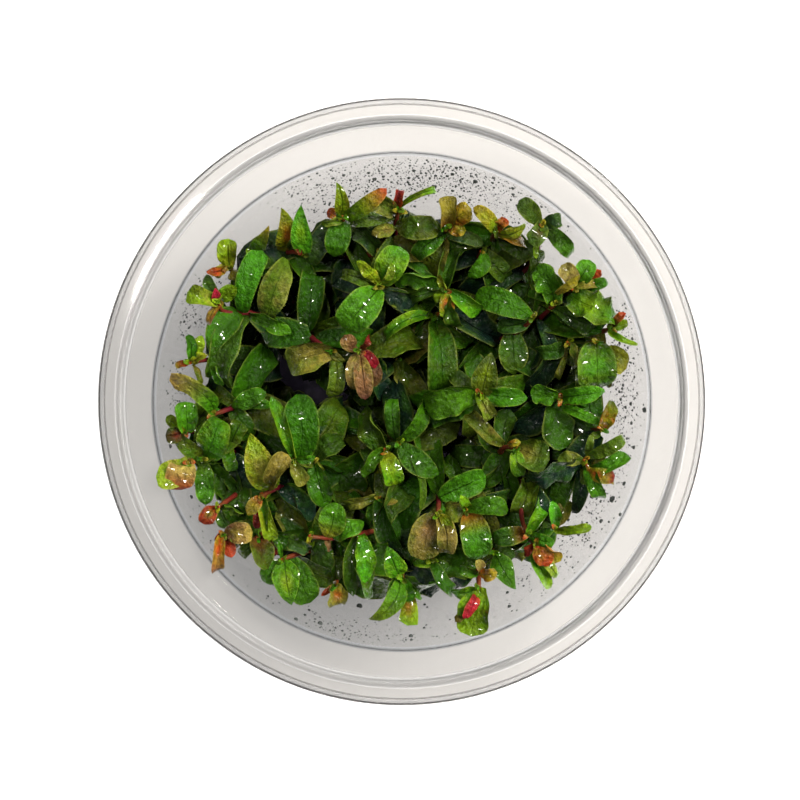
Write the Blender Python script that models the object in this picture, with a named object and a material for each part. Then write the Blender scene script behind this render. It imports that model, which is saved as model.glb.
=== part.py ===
"""Tissue culture of giant red rotala: leafy shoots in clear gel, in an open clear plastic cup."""
import math

import bpy
import numpy as np
from mathutils.bvhtree import BVHTree

MM = 0.001

# The cup: outside diameter of its lip, height, wall, and the slope of its tapered wall.
CUP_HEIGHT = 50.0
LIP_RADIUS = 50.25
WALL = 0.8
FLOOR_TOP = 1.8
FOOT_OUTER = 32.4
FOOT_INNER = 30.4
FOOT_RECESS = 0.8
WALL_BOTTOM = (34.3, 2.6)
WALL_TOP = (41.7, 43.5)
LEDGE_BEAD = (43.9, 45.1)
LEDGE_OUTER = (46.0, 45.7)
STEP_RADIUS = 46.5
SKIRT_DROP = 3.2
CUP_SEGMENTS = 40

# The culture gel, with a hair of air between it and the cup.
GEL_TOP = 9.0
GEL_GAP = 0.3
GEL_SEGMENTS = 28

# The eye that read the planting plan: plan millimetres are true at the lip's height.
EYE_ABOVE_LIP = 260.0

STEM_RADIUS = 0.42
SOCKET = 0.6
STALK_WIDTH = 0.6
LEAF_THICKNESS = 0.34
LEAF_ARCH = 0.12
NEIGHBOUR_GAP = 0.16
ROOT_LIMIT = 30.5
TALLEST_TIP = 47.6

# Leaf tones by the way they look in the cup.
TONES = {
    "bright": (0.16, 0.34, 0.02),
    "green": (0.07, 0.20, 0.02),
    "dark": (0.025, 0.09, 0.02),
    "teal": (0.02, 0.06, 0.035),
    "lime": (0.36, 0.42, 0.02),
    "olive": (0.14, 0.15, 0.03),
    "khaki": (0.33, 0.27, 0.09),
    "amber": (0.45, 0.24, 0.03),
    "rust": (0.42, 0.09, 0.02),
    "wine": (0.22, 0.01, 0.03),
    "rose": (0.42, 0.18, 0.14),
}

# The planting plan. Every shoot: its stem from the crown downwards, then its leaves.
# A stem point is (x, y, height). A leaf is (base x, y, height, tip x, y, height, width, tone).
SHOOTS = (
    (((-28.5, 22.0, 43.0),), (
        (-28.4, 22.2, 42.6, -28.6, 26.9, 45.0, 3.4, "lime"),
        (-29.3, 22.2, 42.8, -32.3, 21.4, 45.0, 1.7, "rust"),
        (-28.9, 21.9, 42.2, -30.5, 20.3, 43.6, 2.0, "amber"),
        (-28.1, 21.6, 42.2, -27.5, 19.9, 43.4, 2.0, "amber"),
    )),
    (((-24.8, 24.2, 40.5),), (
        (-24.8, 24.5, 40.0, -21.9, 29.1, 43.0, 2.5, "green"),
        (-24.6, 24.0, 38.0, -21.6, 22.4, 38.0, 3.0, "dark"),
    )),
    (((-16.2, 24.3, 41.0), (-19.0, 24.9, 40.0)), (
        (-19.3, 25.2, 40.5, -19.9, 32.0, 44.0, 4.0, "lime"),
        (-18.4, 25.2, 40.0, -17.3, 27.2, 42.0, 1.3, "dark"),
        (-16.1, 24.6, 40.5, -16.6, 32.5, 43.0, 3.4, "bright"),
        (-16.6, 24.2, 41.0, -17.4, 25.4, 42.3, 1.0, "wine"),
    )),
    (((-9.8, 30.2, 43.0),), (
        (-10.2, 30.8, 42.6, -10.8, 36.2, 45.2, 2.4, "lime"),
        (-9.4, 30.2, 43.0, -12.4, 31.2, 44.6, 1.8, "rust"),
        (-9.2, 30.5, 42.6, -2.5, 35.2, 44.8, 2.6, "lime"),
        (-10.2, 29.9, 42.0, -13.3, 29.2, 43.4, 1.5, "olive"),
        (-9.6, 29.8, 41.6, -11.2, 23.8, 41.0, 4.0, "green"),
        (-10.6, 29.4, 40.4, -14.8, 22.5, 39.0, 4.0, "dark"),
    )),
    (((-0.6, 31.6, 43.4), (-0.9, 30.0, 41.0), (-1.2, 26.0, 36.0)), (
        (-0.5, 32.0, 43.6, -0.2, 34.8, 46.0, 1.4, "wine"),
        (-1.0, 31.5, 43.0, -5.2, 33.2, 44.4, 3.2, "olive"),
        (-1.2, 28.4, 41.0, -5.0, 27.5, 42.0, 2.2, "khaki"),
        (-1.3, 30.3, 41.6, -8.0, 29.3, 42.4, 1.9, "olive"),
        (-0.2, 32.2, 43.2, 5.6, 34.8, 45.2, 1.7, "dark"),
        (-0.4, 31.2, 43.6, 0.9, 31.2, 44.6, 0.9, "amber"),
        (-0.6, 29.2, 41.4, 6.0, 29.2, 42.0, 3.8, "olive"),
    )),
    (((-4.0, 24.2, 38.0), (-9.3, 23.9, 34.0)), (
        (-4.0, 24.4, 37.6, -8.1, 28.3, 39.0, 4.0, "dark"),
        (-4.2, 23.8, 37.2, -4.6, 19.5, 37.0, 3.0, "dark"),
    )),
    (((-3.8, 19.0, 43.0),), (
        (-3.9, 19.6, 43.0, -7.5, 23.2, 45.0, 1.8, "lime"),
        (-3.4, 19.8, 43.0, -1.7, 23.0, 45.0, 1.4, "lime"),
        (-3.5, 19.8, 42.2, -0.2, 25.5, 43.0, 4.8, "bright"),
        (-4.0, 18.4, 43.2, -9.6, 12.0, 43.8, 5.6, "bright"),
        (-4.6, 18.9, 42.0, -9.8, 20.8, 42.6, 2.4, "olive"),
        (-3.2, 18.0, 41.0, 1.5, 15.0, 40.0, 3.4, "teal"),
    )),
    (((7.3, 28.5, 42.6),), (
        (7.1, 28.8, 42.2, 7.2, 33.9, 44.6, 3.6, "lime"),
        (7.8, 28.8, 42.2, 11.5, 31.8, 44.0, 3.0, "lime"),
        (7.9, 28.2, 42.4, 10.6, 28.2, 43.4, 1.8, "amber"),
        (7.8, 27.4, 41.0, 13.5, 26.0, 40.6, 2.4, "dark"),
        (7.0, 27.6, 40.4, 2.5, 23.5, 39.2, 3.5, "green"),
    )),
    (((15.5, 27.9, 42.6),), (
        (15.2, 28.0, 42.6, 11.8, 32.0, 44.6, 2.4, "olive"),
        (15.7, 28.4, 42.6, 17.3, 30.2, 44.2, 2.0, "rust"),
        (15.9, 27.8, 42.4, 20.5, 29.3, 44.2, 2.0, "lime"),
        (16.1, 27.4, 42.0, 20.2, 26.0, 42.6, 2.2, "lime"),
        (15.9, 27.0, 40.6, 20.6, 23.4, 39.6, 2.8, "dark"),
    )),
    (((13.2, 24.6, 39.4),), (
        (13.4, 25.0, 39.0, 10.9, 20.6, 40.2, 3.0, "green"),
        (13.7, 24.4, 38.2, 17.5, 20.5, 37.4, 3.6, "dark"),
        (13.1, 24.1, 37.8, 14.4, 19.3, 38.4, 2.4, "green"),
    )),
    (((23.0, 28.9, 44.4), (22.6, 25.6, 40.5), (20.6, 22.0, 36.0), (19.0, 20.0, 32.0)), (
        (22.6, 29.4, 43.8, 19.3, 33.2, 45.8, 3.0, "teal"),
        (23.2, 29.4, 44.6, 21.0, 26.2, 45.4, 2.8, "olive"),
        (23.2, 29.4, 44.2, 26.3, 30.2, 45.2, 2.4, "dark"),
        (23.6, 28.9, 43.6, 27.9, 24.3, 45.0, 2.6, "dark"),
        (22.5, 26.0, 42.0, 22.3, 23.5, 42.6, 1.0, "lime"),
    )),
    (((28.2, 18.6, 44.0),), (
        (28.4, 19.2, 43.6, 26.3, 22.5, 45.2, 3.0, "olive"),
        (25.5, 17.8, 44.0, 29.0, 20.2, 45.4, 2.0, "amber"),
        (28.8, 19.6, 43.0, 31.0, 23.4, 44.6, 3.2, "green"),
        (28.9, 18.9, 43.8, 31.8, 19.4, 45.2, 1.8, "khaki"),
        (30.0, 19.6, 43.2, 32.9, 21.7, 45.0, 1.9, "rust"),
        (29.6, 18.2, 42.8, 33.9, 19.8, 44.0, 2.0, "green"),
        (27.8, 17.6, 42.8, 35.4, 14.5, 44.0, 5.2, "lime"),
    )),
    (((25.4, 16.2, 42.0), (22.4, 13.3, 38.0)), (
        (25.0, 16.5, 41.6, 22.0, 21.8, 42.6, 4.0, "green"),
        (25.4, 15.2, 41.0, 32.0, 12.2, 41.4, 3.4, "dark"),
        (22.6, 13.0, 39.0, 24.5, 8.5, 38.4, 3.0, "teal"),
    )),
    (((34.4, 12.0, 44.0),), (
        (34.9, 12.6, 44.0, 37.0, 14.6, 45.8, 1.6, "rust"),
        (34.4, 11.7, 44.0, 39.0, 9.5, 46.0, 1.7, "lime"),
        (34.4, 12.2, 43.6, 37.2, 13.4, 45.2, 1.6, "lime"),
    )),
    (((32.2, 10.0, 43.0),), (
        (32.0, 9.6, 42.6, 32.0, 2.2, 42.8, 6.2, "lime"),
        (32.9, 8.0, 42.4, 37.1, 5.4, 43.4, 4.4, "amber"),
        (33.4, 6.4, 41.0, 34.2, 2.2, 41.4, 2.0, "khaki"),
    )),
    (((27.4, 9.6, 41.0),), (
        (28.0, 9.2, 41.0, 28.0, 5.0, 41.6, 1.8, "olive"),
        (27.0, 7.4, 40.4, 25.6, 3.8, 41.6, 1.4, "amber"),
        (27.0, 9.4, 39.0, 22.2, 8.6, 38.4, 2.8, "dark"),
    )),
    (((26.0, 0.3, 42.0),), (
        (25.8, 0.5, 41.6, 21.2, 1.5, 42.2, 3.5, "bright"),
        (26.4, 0.6, 41.6, 33.6, 1.6, 43.2, 3.2, "lime"),
        (26.3, -0.2, 42.0, 28.7, -0.4, 42.8, 0.9, "wine"),
        (26.4, -0.6, 41.2, 32.9, -3.6, 42.2, 1.8, "bright"),
        (25.7, -0.4, 40.4, 27.2, -7.6, 40.2, 5.0, "green"),
    )),
    (((33.0, -4.7, 42.6),), (
        (33.3, -4.5, 42.6, 35.0, 0.0, 44.8, 3.0, "amber"),
        (32.8, -4.9, 42.0, 30.9, -5.8, 43.0, 1.2, "olive"),
        (32.7, -4.4, 41.0, 29.8, -2.4, 41.0, 1.8, "dark"),
    )),
    (((30.2, -9.8, 43.2),), (
        (30.8, -9.0, 43.2, 36.6, -5.9, 45.4, 2.4, "lime"),
        (31.4, -10.8, 43.2, 36.9, -8.4, 44.8, 3.0, "bright"),
        (30.6, -10.0, 43.4, 34.0, -10.3, 44.2, 3.6, "khaki"),
        (31.0, -11.4, 43.2, 35.2, -12.3, 44.4, 2.4, "wine"),
        (30.8, -11.2, 42.6, 35.0, -13.8, 43.6, 1.9, "amber"),
        (30.6, -11.0, 42.2, 32.8, -15.9, 42.8, 2.6, "green"),
        (30.6, -8.8, 43.0, 31.3, -5.6, 44.2, 1.3, "olive"),
        (29.8, -9.6, 42.6, 25.7, -9.5, 42.4, 2.8, "olive"),
        (29.6, -10.2, 42.0, 21.0, -13.0, 41.2, 4.2, "teal"),
        (29.9, -10.6, 41.6, 29.8, -13.8, 41.2, 1.6, "olive"),
        (29.4, -10.8, 39.0, 28.1, -18.3, 38.0, 2.6, "teal"),
    )),
    (((18.9, -7.7, 42.2), (16.7, -7.2, 41.0), (16.3, -8.6, 38.0)), (
        (19.4, -7.6, 42.4, 24.4, -9.6, 43.2, 5.6, "khaki"),
        (17.6, -7.1, 42.2, 19.6, -6.6, 43.2, 1.3, "amber"),
        (18.7, -8.4, 41.8, 19.6, -12.4, 41.8, 2.6, "lime"),
        (16.4, -6.9, 41.4, 11.3, -2.0, 42.2, 2.8, "olive"),
        (16.4, -8.8, 38.0, 13.2, -13.8, 38.0, 4.4, "dark"),
        (16.8, -6.6, 38.6, 18.0, -1.4, 37.6, 4.2, "dark"),
    )),
    (((7.2, 18.3, 42.2),), (
        (7.1, 17.8, 42.0, 7.2, 13.6, 42.6, 2.4, "rust"),
        (6.9, 18.0, 42.0, 5.5, 16.4, 43.2, 1.5, "lime"),
        (7.1, 18.7, 42.0, 6.0, 20.6, 43.6, 1.3, "amber"),
        (7.8, 17.4, 41.6, 9.4, 12.5, 41.6, 2.2, "green"),
        (7.7, 18.2, 41.6, 12.8, 14.5, 42.2, 3.4, "bright"),
        (6.9, 18.9, 41.2, -0.5, 19.6, 41.8, 2.8, "green"),
        (6.5, 18.6, 40.2, 0.8, 17.0, 39.4, 3.0, "dark"),
    )),
    (((21.5, 13.8, 42.0), (20.4, 12.2, 40.0), (16.6, 10.3, 36.5)), (
        (21.2, 14.0, 41.6, 12.0, 17.3, 42.6, 4.2, "bright"),
        (18.2, 11.2, 38.2, 18.5, 4.4, 38.4, 4.8, "olive"),
        (20.8, 13.4, 39.8, 15.6, 12.6, 38.8, 3.0, "dark"),
    )),
    (((5.6, 13.8, 39.0),), (
        (5.2, 14.0, 38.6, -2.6, 10.2, 39.6, 2.4, "green"),
        (5.3, 12.4, 38.2, 6.2, 2.0, 38.8, 5.2, "green"),
        (6.1, 13.6, 38.2, 11.2, 9.4, 38.2, 3.2, "green"),
        (5.2, 13.2, 36.0, 0.6, 8.6, 35.6, 3.4, "dark"),
    )),
    (((-0.8, 7.2, 36.0),), (
        (-0.7, 6.8, 35.8, 4.0, 0.5, 36.0, 4.0, "olive"),
        (-1.0, 7.4, 35.2, -3.2, 9.6, 35.6, 1.8, "dark"),
    )),
    (((12.9, 1.3, 43.6),), (
        (13.2, 1.6, 43.2, 14.8, 8.2, 44.6, 4.2, "lime"),
        (12.5, 1.1, 43.2, 14.6, -3.0, 43.8, 2.8, "lime"),
        (13.2, 1.6, 42.6, 20.8, 0.6, 42.8, 3.4, "bright"),
        (12.2, 0.9, 42.6, 3.9, -1.2, 42.8, 5.2, "bright"),
        (12.3, 1.7, 41.0, 8.6, 4.6, 40.2, 2.6, "dark"),
    )),
    (((-30.2, 16.4, 43.8), (-30.0, 14.4, 42.0), (-26.4, 14.8, 40.8), (-21.4, 14.0, 38.0)), (
        (-30.4, 16.7, 43.2, -35.4, 18.0, 45.4, 3.2, "lime"),
        (-30.4, 16.8, 44.2, -30.8, 18.8, 45.8, 1.7, "wine"),
        (-29.8, 16.6, 43.8, -27.2, 18.8, 44.8, 2.6, "lime"),
        (-30.3, 15.9, 43.2, -32.0, 12.8, 44.4, 1.8, "amber"),
        (-30.2, 16.8, 42.4, -32.2, 21.0, 43.4, 2.2, "dark"),
        (-26.2, 15.3, 42.0, -23.0, 24.9, 43.6, 3.7, "bright"),
        (-26.8, 14.6, 41.2, -31.0, 7.3, 42.2, 4.8, "green"),
        (-25.6, 14.0, 40.2, -29.0, 3.0, 40.2, 4.8, "dark"),
        (-24.6, 14.2, 41.2, -18.2, 11.2, 42.2, 2.6, "bright"),
        (-22.2, 14.3, 39.6, -18.7, 23.3, 41.2, 4.6, "olive"),
        (-20.8, 14.2, 36.6, -13.2, 19.0, 36.4, 4.0, "green"),
        (-21.5, 13.0, 33.0, -21.8, 5.0, 32.0, 2.6, "teal"),
    )),
    (((-34.8, 6.5, 44.2), (-31.3, 7.0, 41.0)), (
        (-35.0, 6.9, 44.2, -35.2, 11.1, 45.8, 1.8, "green"),
        (-35.1, 6.3, 44.2, -37.4, 5.8, 45.4, 1.6, "rust"),
        (-34.5, 6.4, 44.2, -32.3, 7.8, 45.2, 1.7, "amber"),
        (-34.3, 7.0, 43.6, -33.0, 10.9, 44.8, 2.1, "lime"),
        (-34.5, 5.9, 43.6, -33.5, 2.2, 43.8, 1.3, "olive"),
        (-31.0, 6.6, 41.0, -29.5, 2.6, 41.8, 2.2, "bright"),
    )),
    (((-31.2, -2.2, 42.8), (-27.5, -0.9, 39.6)), (
        (-31.2, -1.7, 42.6, -38.4, 3.5, 45.2, 3.2, "lime"),
        (-27.2, -0.5, 40.4, -22.4, 1.6, 41.6, 2.9, "bright"),
        (-27.0, -1.0, 39.6, -21.8, -0.9, 40.2, 2.2, "green"),
        (-27.7, -1.5, 39.2, -25.4, -6.3, 39.2, 3.4, "green"),
    )),
    (((-35.7, -5.0, 44.2),), (
        (-35.5, -4.6, 44.2, -35.8, 0.0, 45.8, 3.8, "bright"),
        (-36.2, -4.9, 44.2, -38.8, -2.4, 46.0, 1.8, "lime"),
        (-36.2, -5.2, 44.6, -39.0, -5.6, 45.8, 2.6, "wine"),
    )),
    (((-32.8, -9.6, 43.0), (-30.0, -8.8, 40.8), (-28.2, -8.3, 39.0)), (
        (-32.4, -9.2, 42.6, -30.2, -2.7, 43.8, 5.2, "green"),
        (-33.3, -9.4, 42.6, -37.0, -6.0, 44.0, 2.8, "olive"),
        (-32.8, -10.0, 42.2, -32.4, -17.1, 42.4, 3.2, "green"),
        (-28.4, -7.8, 39.6, -26.3, -3.4, 39.8, 2.8, "green"),
        (-28.3, -8.0, 40.2, -27.3, -11.4, 40.4, 2.2, "bright"),
        (-28.9, -9.0, 38.0, -22.5, -14.4, 37.4, 4.2, "teal"),
        (-29.4, -9.2, 38.2, -29.8, -16.2, 38.4, 2.6, "dark"),
    )),
    (((-35.0, -9.8, 45.0),), (
        (-35.3, -9.8, 45.4, -40.6, -12.4, 47.4, 4.4, "lime"),
        (-35.0, -10.0, 45.0, -36.4, -14.6, 46.4, 4.6, "rust"),
    )),
    (((-30.3, -17.4, 43.2), (-27.4, -15.4, 39.6)), (
        (-30.8, -17.6, 43.4, -32.6, -20.3, 45.2, 2.6, "rust"),
        (-30.0, -17.8, 42.6, -28.6, -21.0, 42.6, 2.2, "dark"),
        (-29.6, -17.4, 42.2, -26.6, -18.6, 42.6, 2.0, "olive"),
    )),
    (((-23.2, -15.8, 42.2), (-21.7, -14.5, 40.4), (-19.4, -14.0, 38.0)), (
        (-21.8, -14.0, 42.4, -25.0, -5.2, 44.2, 5.2, "khaki"),
        (-21.0, -13.8, 42.2, -18.6, -8.8, 43.2, 4.0, "khaki"),
        (-23.4, -16.0, 42.4, -25.4, -18.8, 43.4, 2.2, "amber"),
        (-22.9, -16.0, 42.2, -22.5, -21.0, 43.0, 1.7, "bright"),
        (-22.7, -16.4, 41.4, -21.5, -23.2, 42.2, 2.8, "lime"),
        (-23.4, -16.4, 41.4, -24.2, -21.0, 41.6, 2.0, "wine"),
        (-20.4, -14.6, 38.6, -14.2, -18.8, 38.0, 5.2, "teal"),
        (-19.4, -14.0, 39.2, -16.2, -16.2, 39.6, 2.0, "green"),
    )),
    (((-17.8, -9.7, 42.6),), (
        (-17.7, -9.2, 42.2, -21.6, 0.8, 43.2, 3.2, "bright"),
        (-17.0, -9.3, 42.2, -17.4, 1.2, 42.8, 5.6, "olive"),
        (-17.3, -9.5, 42.6, -14.3, -9.0, 43.2, 1.5, "bright"),
        (-18.2, -9.9, 42.4, -19.8, -10.6, 43.2, 1.5, "bright"),
        (-17.8, -10.4, 42.0, -16.0, -13.8, 41.8, 2.8, "khaki"),
        (-17.2, -10.0, 42.4, -15.0, -10.5, 42.8, 1.4, "khaki"),
    )),
    (((-14.6, -10.0, 41.2),), (
        (-14.4, -10.4, 40.8, -12.5, -17.6, 40.4, 4.0, "green"),
        (-14.4, -10.1, 41.2, -13.4, -11.9, 42.0, 1.5, "khaki"),
        (-14.2, -9.4, 39.0, -9.8, -6.2, 38.6, 3.6, "dark"),
        (-15.0, -10.4, 38.0, -17.6, -15.6, 37.6, 2.2, "green"),
    )),
    (((-15.0, -22.3, 42.8), (-12.4, -22.6, 42.2), (-7.0, -22.1, 40.4), (-3.6, -20.9, 37.0)), (
        (-12.3, -22.2, 42.6, -11.3, -16.6, 43.4, 4.4, "lime"),
        (-11.4, -22.2, 42.2, -6.3, -19.8, 42.8, 3.0, "bright"),
        (-12.2, -22.9, 42.6, -11.9, -24.8, 43.2, 1.5, "khaki"),
        (-12.9, -23.0, 40.8, -12.5, -28.6, 39.6, 4.2, "dark"),
        (-6.6, -22.2, 41.8, -6.1, -30.0, 43.0, 3.2, "bright"),
        (-7.8, -22.6, 41.2, -8.0, -32.2, 43.0, 3.4, "green"),
        (-6.4, -22.8, 40.0, -4.8, -32.2, 41.0, 3.0, "wine"),
    )),
    (((-19.5, -26.0, 42.8), (-17.6, -25.2, 41.2), (-15.2, -24.7, 39.6)), (
        (-19.4, -26.3, 43.0, -18.2, -33.6, 43.6, 4.4, "lime"),
        (-19.9, -26.3, 42.6, -23.0, -29.6, 43.2, 3.6, "lime"),
        (-18.6, -25.9, 42.2, -15.0, -33.2, 42.2, 5.0, "green"),
        (-19.9, -25.8, 43.0, -20.4, -22.8, 44.0, 0.9, "bright"),
        (-15.4, -24.3, 41.0, -18.8, -22.6, 41.0, 2.8, "dark"),
        (-15.0, -24.5, 40.8, -14.4, -23.1, 42.0, 0.9, "lime"),
    )),
    (((-23.5, -22.2, 42.2),), (
        (-23.4, -22.5, 42.2, -22.0, -27.6, 42.8, 3.8, "khaki"),
        (-23.2, -22.1, 42.6, -21.0, -25.6, 43.2, 2.2, "wine"),
        (-23.8, -22.5, 41.6, -26.8, -25.2, 42.0, 2.3, "olive"),
    )),
    (((-29.4, -22.0, 44.2),), (
        (-29.9, -22.4, 44.4, -30.5, -27.8, 46.2, 2.8, "rust"),
        (-29.5, -22.3, 44.0, -28.1, -25.8, 45.2, 2.3, "rust"),
        (-29.0, -21.9, 44.0, -27.0, -24.0, 44.8, 2.6, "olive"),
        (-28.8, -21.4, 44.2, -24.6, -21.6, 45.0, 3.4, "khaki"),
        (-29.8, -21.7, 43.8, -30.9, -23.0, 45.2, 1.2, "rust"),
    )),
    (((-11.0, -30.2, 42.0),), (
        (-11.0, -30.5, 41.8, -11.2, -33.7, 43.6, 3.6, "lime"),
        (-11.2, -30.6, 42.2, -13.3, -32.1, 43.6, 1.4, "rust"),
        (-10.8, -29.8, 39.6, -10.4, -25.6, 38.6, 2.2, "olive"),
    )),
    (((0.0, -29.2, 43.2),), (
        (-0.4, -28.8, 43.0, -2.4, -23.9, 44.4, 3.6, "bright"),
        (-0.5, -29.5, 43.2, -5.6, -35.9, 44.8, 3.2, "lime"),
        (-0.3, -29.6, 42.4, -1.8, -33.7, 43.0, 3.0, "green"),
        (0.2, -29.6, 43.0, 1.2, -33.0, 43.6, 3.4, "green"),
        (0.3, -29.7, 42.0, 0.9, -37.0, 43.8, 3.0, "lime"),
        (0.6, -29.5, 42.2, 3.4, -32.5, 42.6, 1.5, "green"),
        (0.2, -28.8, 43.2, 0.3, -26.4, 44.6, 0.9, "amber"),
        (0.7, -29.1, 41.2, 4.9, -30.3, 41.2, 2.2, "teal"),
    )),
    (((5.9, -18.6, 42.4), (6.2, -16.0, 40.6)), (
        (5.6, -18.8, 42.2, 3.4, -26.2, 42.8, 5.4, "khaki"),
        (6.2, -18.9, 41.8, 7.0, -25.0, 42.2, 3.2, "khaki"),
        (6.4, -18.9, 42.6, 8.2, -21.7, 43.6, 1.8, "lime"),
        (6.4, -15.7, 41.0, 13.9, -12.2, 41.8, 4.4, "bright"),
        (6.3, -16.4, 40.8, 7.2, -18.8, 41.4, 0.9, "bright"),
    )),
    (((10.5, -17.9, 41.6),), (
        (10.2, -18.0, 41.2, 7.2, -18.8, 41.6, 3.6, "olive"),
        (10.4, -17.6, 41.4, 9.6, -15.5, 42.4, 1.7, "lime"),
        (10.9, -17.8, 41.2, 17.6, -17.9, 41.8, 3.4, "green"),
        (11.0, -18.3, 41.6, 12.5, -26.1, 42.8, 4.8, "bright"),
        (10.7, -17.4, 39.2, 17.8, -15.2, 38.6, 3.0, "dark"),
    )),
    (((-2.7, -8.0, 40.6),), (
        (-3.1, -8.3, 40.4, -6.2, -12.6, 41.0, 3.2, "bright"),
        (-2.6, -8.6, 40.4, -0.9, -13.7, 40.8, 3.6, "lime"),
        (-2.8, -8.7, 39.4, -3.9, -16.0, 39.8, 3.6, "olive"),
        (-2.9, -8.8, 41.0, -4.5, -11.9, 41.8, 1.8, "amber"),
        (-3.0, -7.7, 38.8, -5.9, -0.8, 38.4, 4.4, "olive"),
    )),
    (((-0.5, -6.8, 41.0),), (
        (-0.5, -6.3, 41.0, 3.5, -0.8, 42.0, 2.6, "bright"),
        (-0.2, -7.1, 40.6, 6.2, -12.0, 40.8, 4.0, "green"),
        (-0.5, -7.3, 39.6, 3.0, -18.2, 40.4, 1.5, "amber"),
        (-0.8, -6.4, 39.2, -1.4, 0.4, 39.4, 2.6, "green"),
    )),
    (((-3.6, -16.0, 40.6),), (
        (-3.5, -16.3, 40.2, -0.6, -23.4, 40.4, 4.4, "green"),
        (-3.9, -16.3, 40.6, -4.7, -20.4, 41.2, 2.8, "bright"),
        (-3.3, -16.1, 39.8, 0.0, -17.2, 39.4, 2.0, "khaki"),
        (-4.0, -15.8, 38.8, -9.2, -17.0, 38.6, 2.6, "olive"),
    )),
    (((-11.6, 8.2, 42.0), (-15.8, 11.1, 38.0)), (
        (-11.9, 8.1, 42.0, -18.8, 6.0, 43.2, 5.2, "khaki"),
        (-11.5, 8.1, 42.2, -9.7, 6.4, 43.0, 1.5, "olive"),
        (-11.5, 7.6, 41.2, -12.0, 0.7, 41.2, 2.6, "lime"),
    )),
    (((-7.0, 8.2, 42.6),), (
        (-7.5, 7.6, 42.2, -7.8, 2.0, 42.4, 2.2, "khaki"),
        (-6.8, 7.4, 41.6, -6.0, 0.3, 42.0, 3.0, "rose"),
        (-8.2, 8.8, 42.8, -9.4, 11.0, 43.6, 2.6, "khaki"),
        (-6.5, 8.2, 43.0, -4.0, 5.6, 44.2, 1.9, "wine"),
        (-6.2, 7.6, 42.4, -4.4, 2.4, 42.6, 3.2, "rose"),
        (-6.8, 8.8, 42.6, -5.4, 10.6, 44.0, 1.6, "wine"),
    )),
    (((12.7, -30.7, 44.6), (12.7, -28.2, 41.6)), (
        (13.0, -31.0, 44.6, 11.5, -38.8, 46.4, 5.4, "lime"),
        (12.3, -31.4, 45.2, 10.1, -35.8, 46.6, 1.9, "wine"),
        (12.0, -31.6, 44.8, 8.8, -36.4, 46.4, 1.4, "olive"),
        (12.2, -31.0, 44.2, 8.1, -31.3, 44.6, 2.4, "bright"),
        (12.4, -28.6, 42.8, 9.5, -27.6, 43.2, 2.0, "green"),
        (13.0, -28.4, 42.8, 15.8, -28.2, 43.8, 2.2, "amber"),
        (12.7, -28.0, 42.8, 12.2, -26.2, 43.8, 1.7, "khaki"),
    )),
    (((15.2, -24.9, 41.0),), (
        (15.5, -25.2, 41.0, 18.8, -31.0, 42.8, 3.6, "lime"),
        (15.4, -24.6, 40.0, 18.6, -25.8, 40.0, 2.4, "dark"),
    )),
    (((20.6, -21.8, 43.0), (19.5, -18.7, 41.0), (20.3, -13.8, 38.2)), (
        (20.3, -21.7, 42.6, 15.0, -22.6, 42.4, 3.2, "olive"),
        (20.9, -21.4, 42.8, 22.8, -17.2, 43.8, 4.0, "green"),
        (21.0, -22.0, 42.8, 25.2, -23.3, 43.4, 2.2, "bright"),
        (20.2, -13.4, 40.0, 19.0, -18.3, 40.0, 4.2, "olive"),
        (20.7, -13.6, 38.6, 24.0, -18.0, 38.0, 3.4, "teal"),
    )),
    (((22.0, -23.6, 43.4),), (
        (22.3, -23.6, 43.8, 24.2, -27.2, 45.2, 3.2, "rust"),
        (22.5, -23.4, 43.4, 26.2, -26.4, 44.8, 2.5, "amber"),
        (22.4, -23.9, 43.0, 25.7, -28.8, 44.4, 1.7, "lime"),
        (22.0, -24.1, 42.8, 24.7, -30.7, 44.4, 2.6, "green"),
        (21.6, -23.8, 42.8, 20.2, -25.4, 43.2, 1.8, "wine"),
    )),
    (((25.3, -21.0, 42.6),), (
        (25.7, -21.2, 42.6, 31.3, -20.5, 44.8, 2.0, "lime"),
        (25.2, -20.6, 42.2, 24.9, -16.4, 43.8, 2.4, "bright"),
        (25.0, -20.6, 40.6, 22.4, -18.6, 40.2, 2.6, "dark"),
    )),
    (((5.0, -26.2, 40.0),), (
        (5.1, -26.5, 40.0, 8.4, -31.4, 40.8, 2.2, "green"),
        (4.8, -26.4, 39.8, 1.8, -26.6, 40.2, 1.7, "bright"),
        (5.3, -26.2, 39.0, 9.6, -28.8, 39.2, 1.8, "dark"),
    )),
)


def true_point(x, y, z):
    """A plan position, read at the lip's height, moved out along the eye's line to height z."""
    grow = (EYE_ABOVE_LIP + CUP_HEIGHT - z) / EYE_ABOVE_LIP
    return np.array((x * grow, y * grow, z))


def wall_radius(z):
    """Inside radius of the cup at a height."""
    heights = (WALL_BOTTOM[1], WALL_TOP[1], LEDGE_BEAD[1], LEDGE_OUTER[1], CUP_HEIGHT)
    radii = (WALL_BOTTOM[0], WALL_TOP[0], LEDGE_BEAD[0], LEDGE_OUTER[0], STEP_RADIUS)
    return np.interp(z, heights, radii)


def skin(rings, tip=None):
    """Points and faces of a closed body over rings of equal size, with a tip or a flat end."""
    points = [point for ring in rings for point in ring]
    size = len(rings[0])
    last = size * (len(rings) - 1)
    faces = [tuple(range(size))[::-1]]
    for first in range(0, last, size):
        for side in range(size):
            after = (side + 1) % size
            faces.append((first + side, first + after, first + after + size, first + side + size))
    if tip is None:
        faces.append(tuple(range(last, last + size)))
    else:
        points.append(tip)
        faces.extend((last + side, last + (side + 1) % size, len(points) - 1) for side in range(size))
    return points, faces


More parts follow.
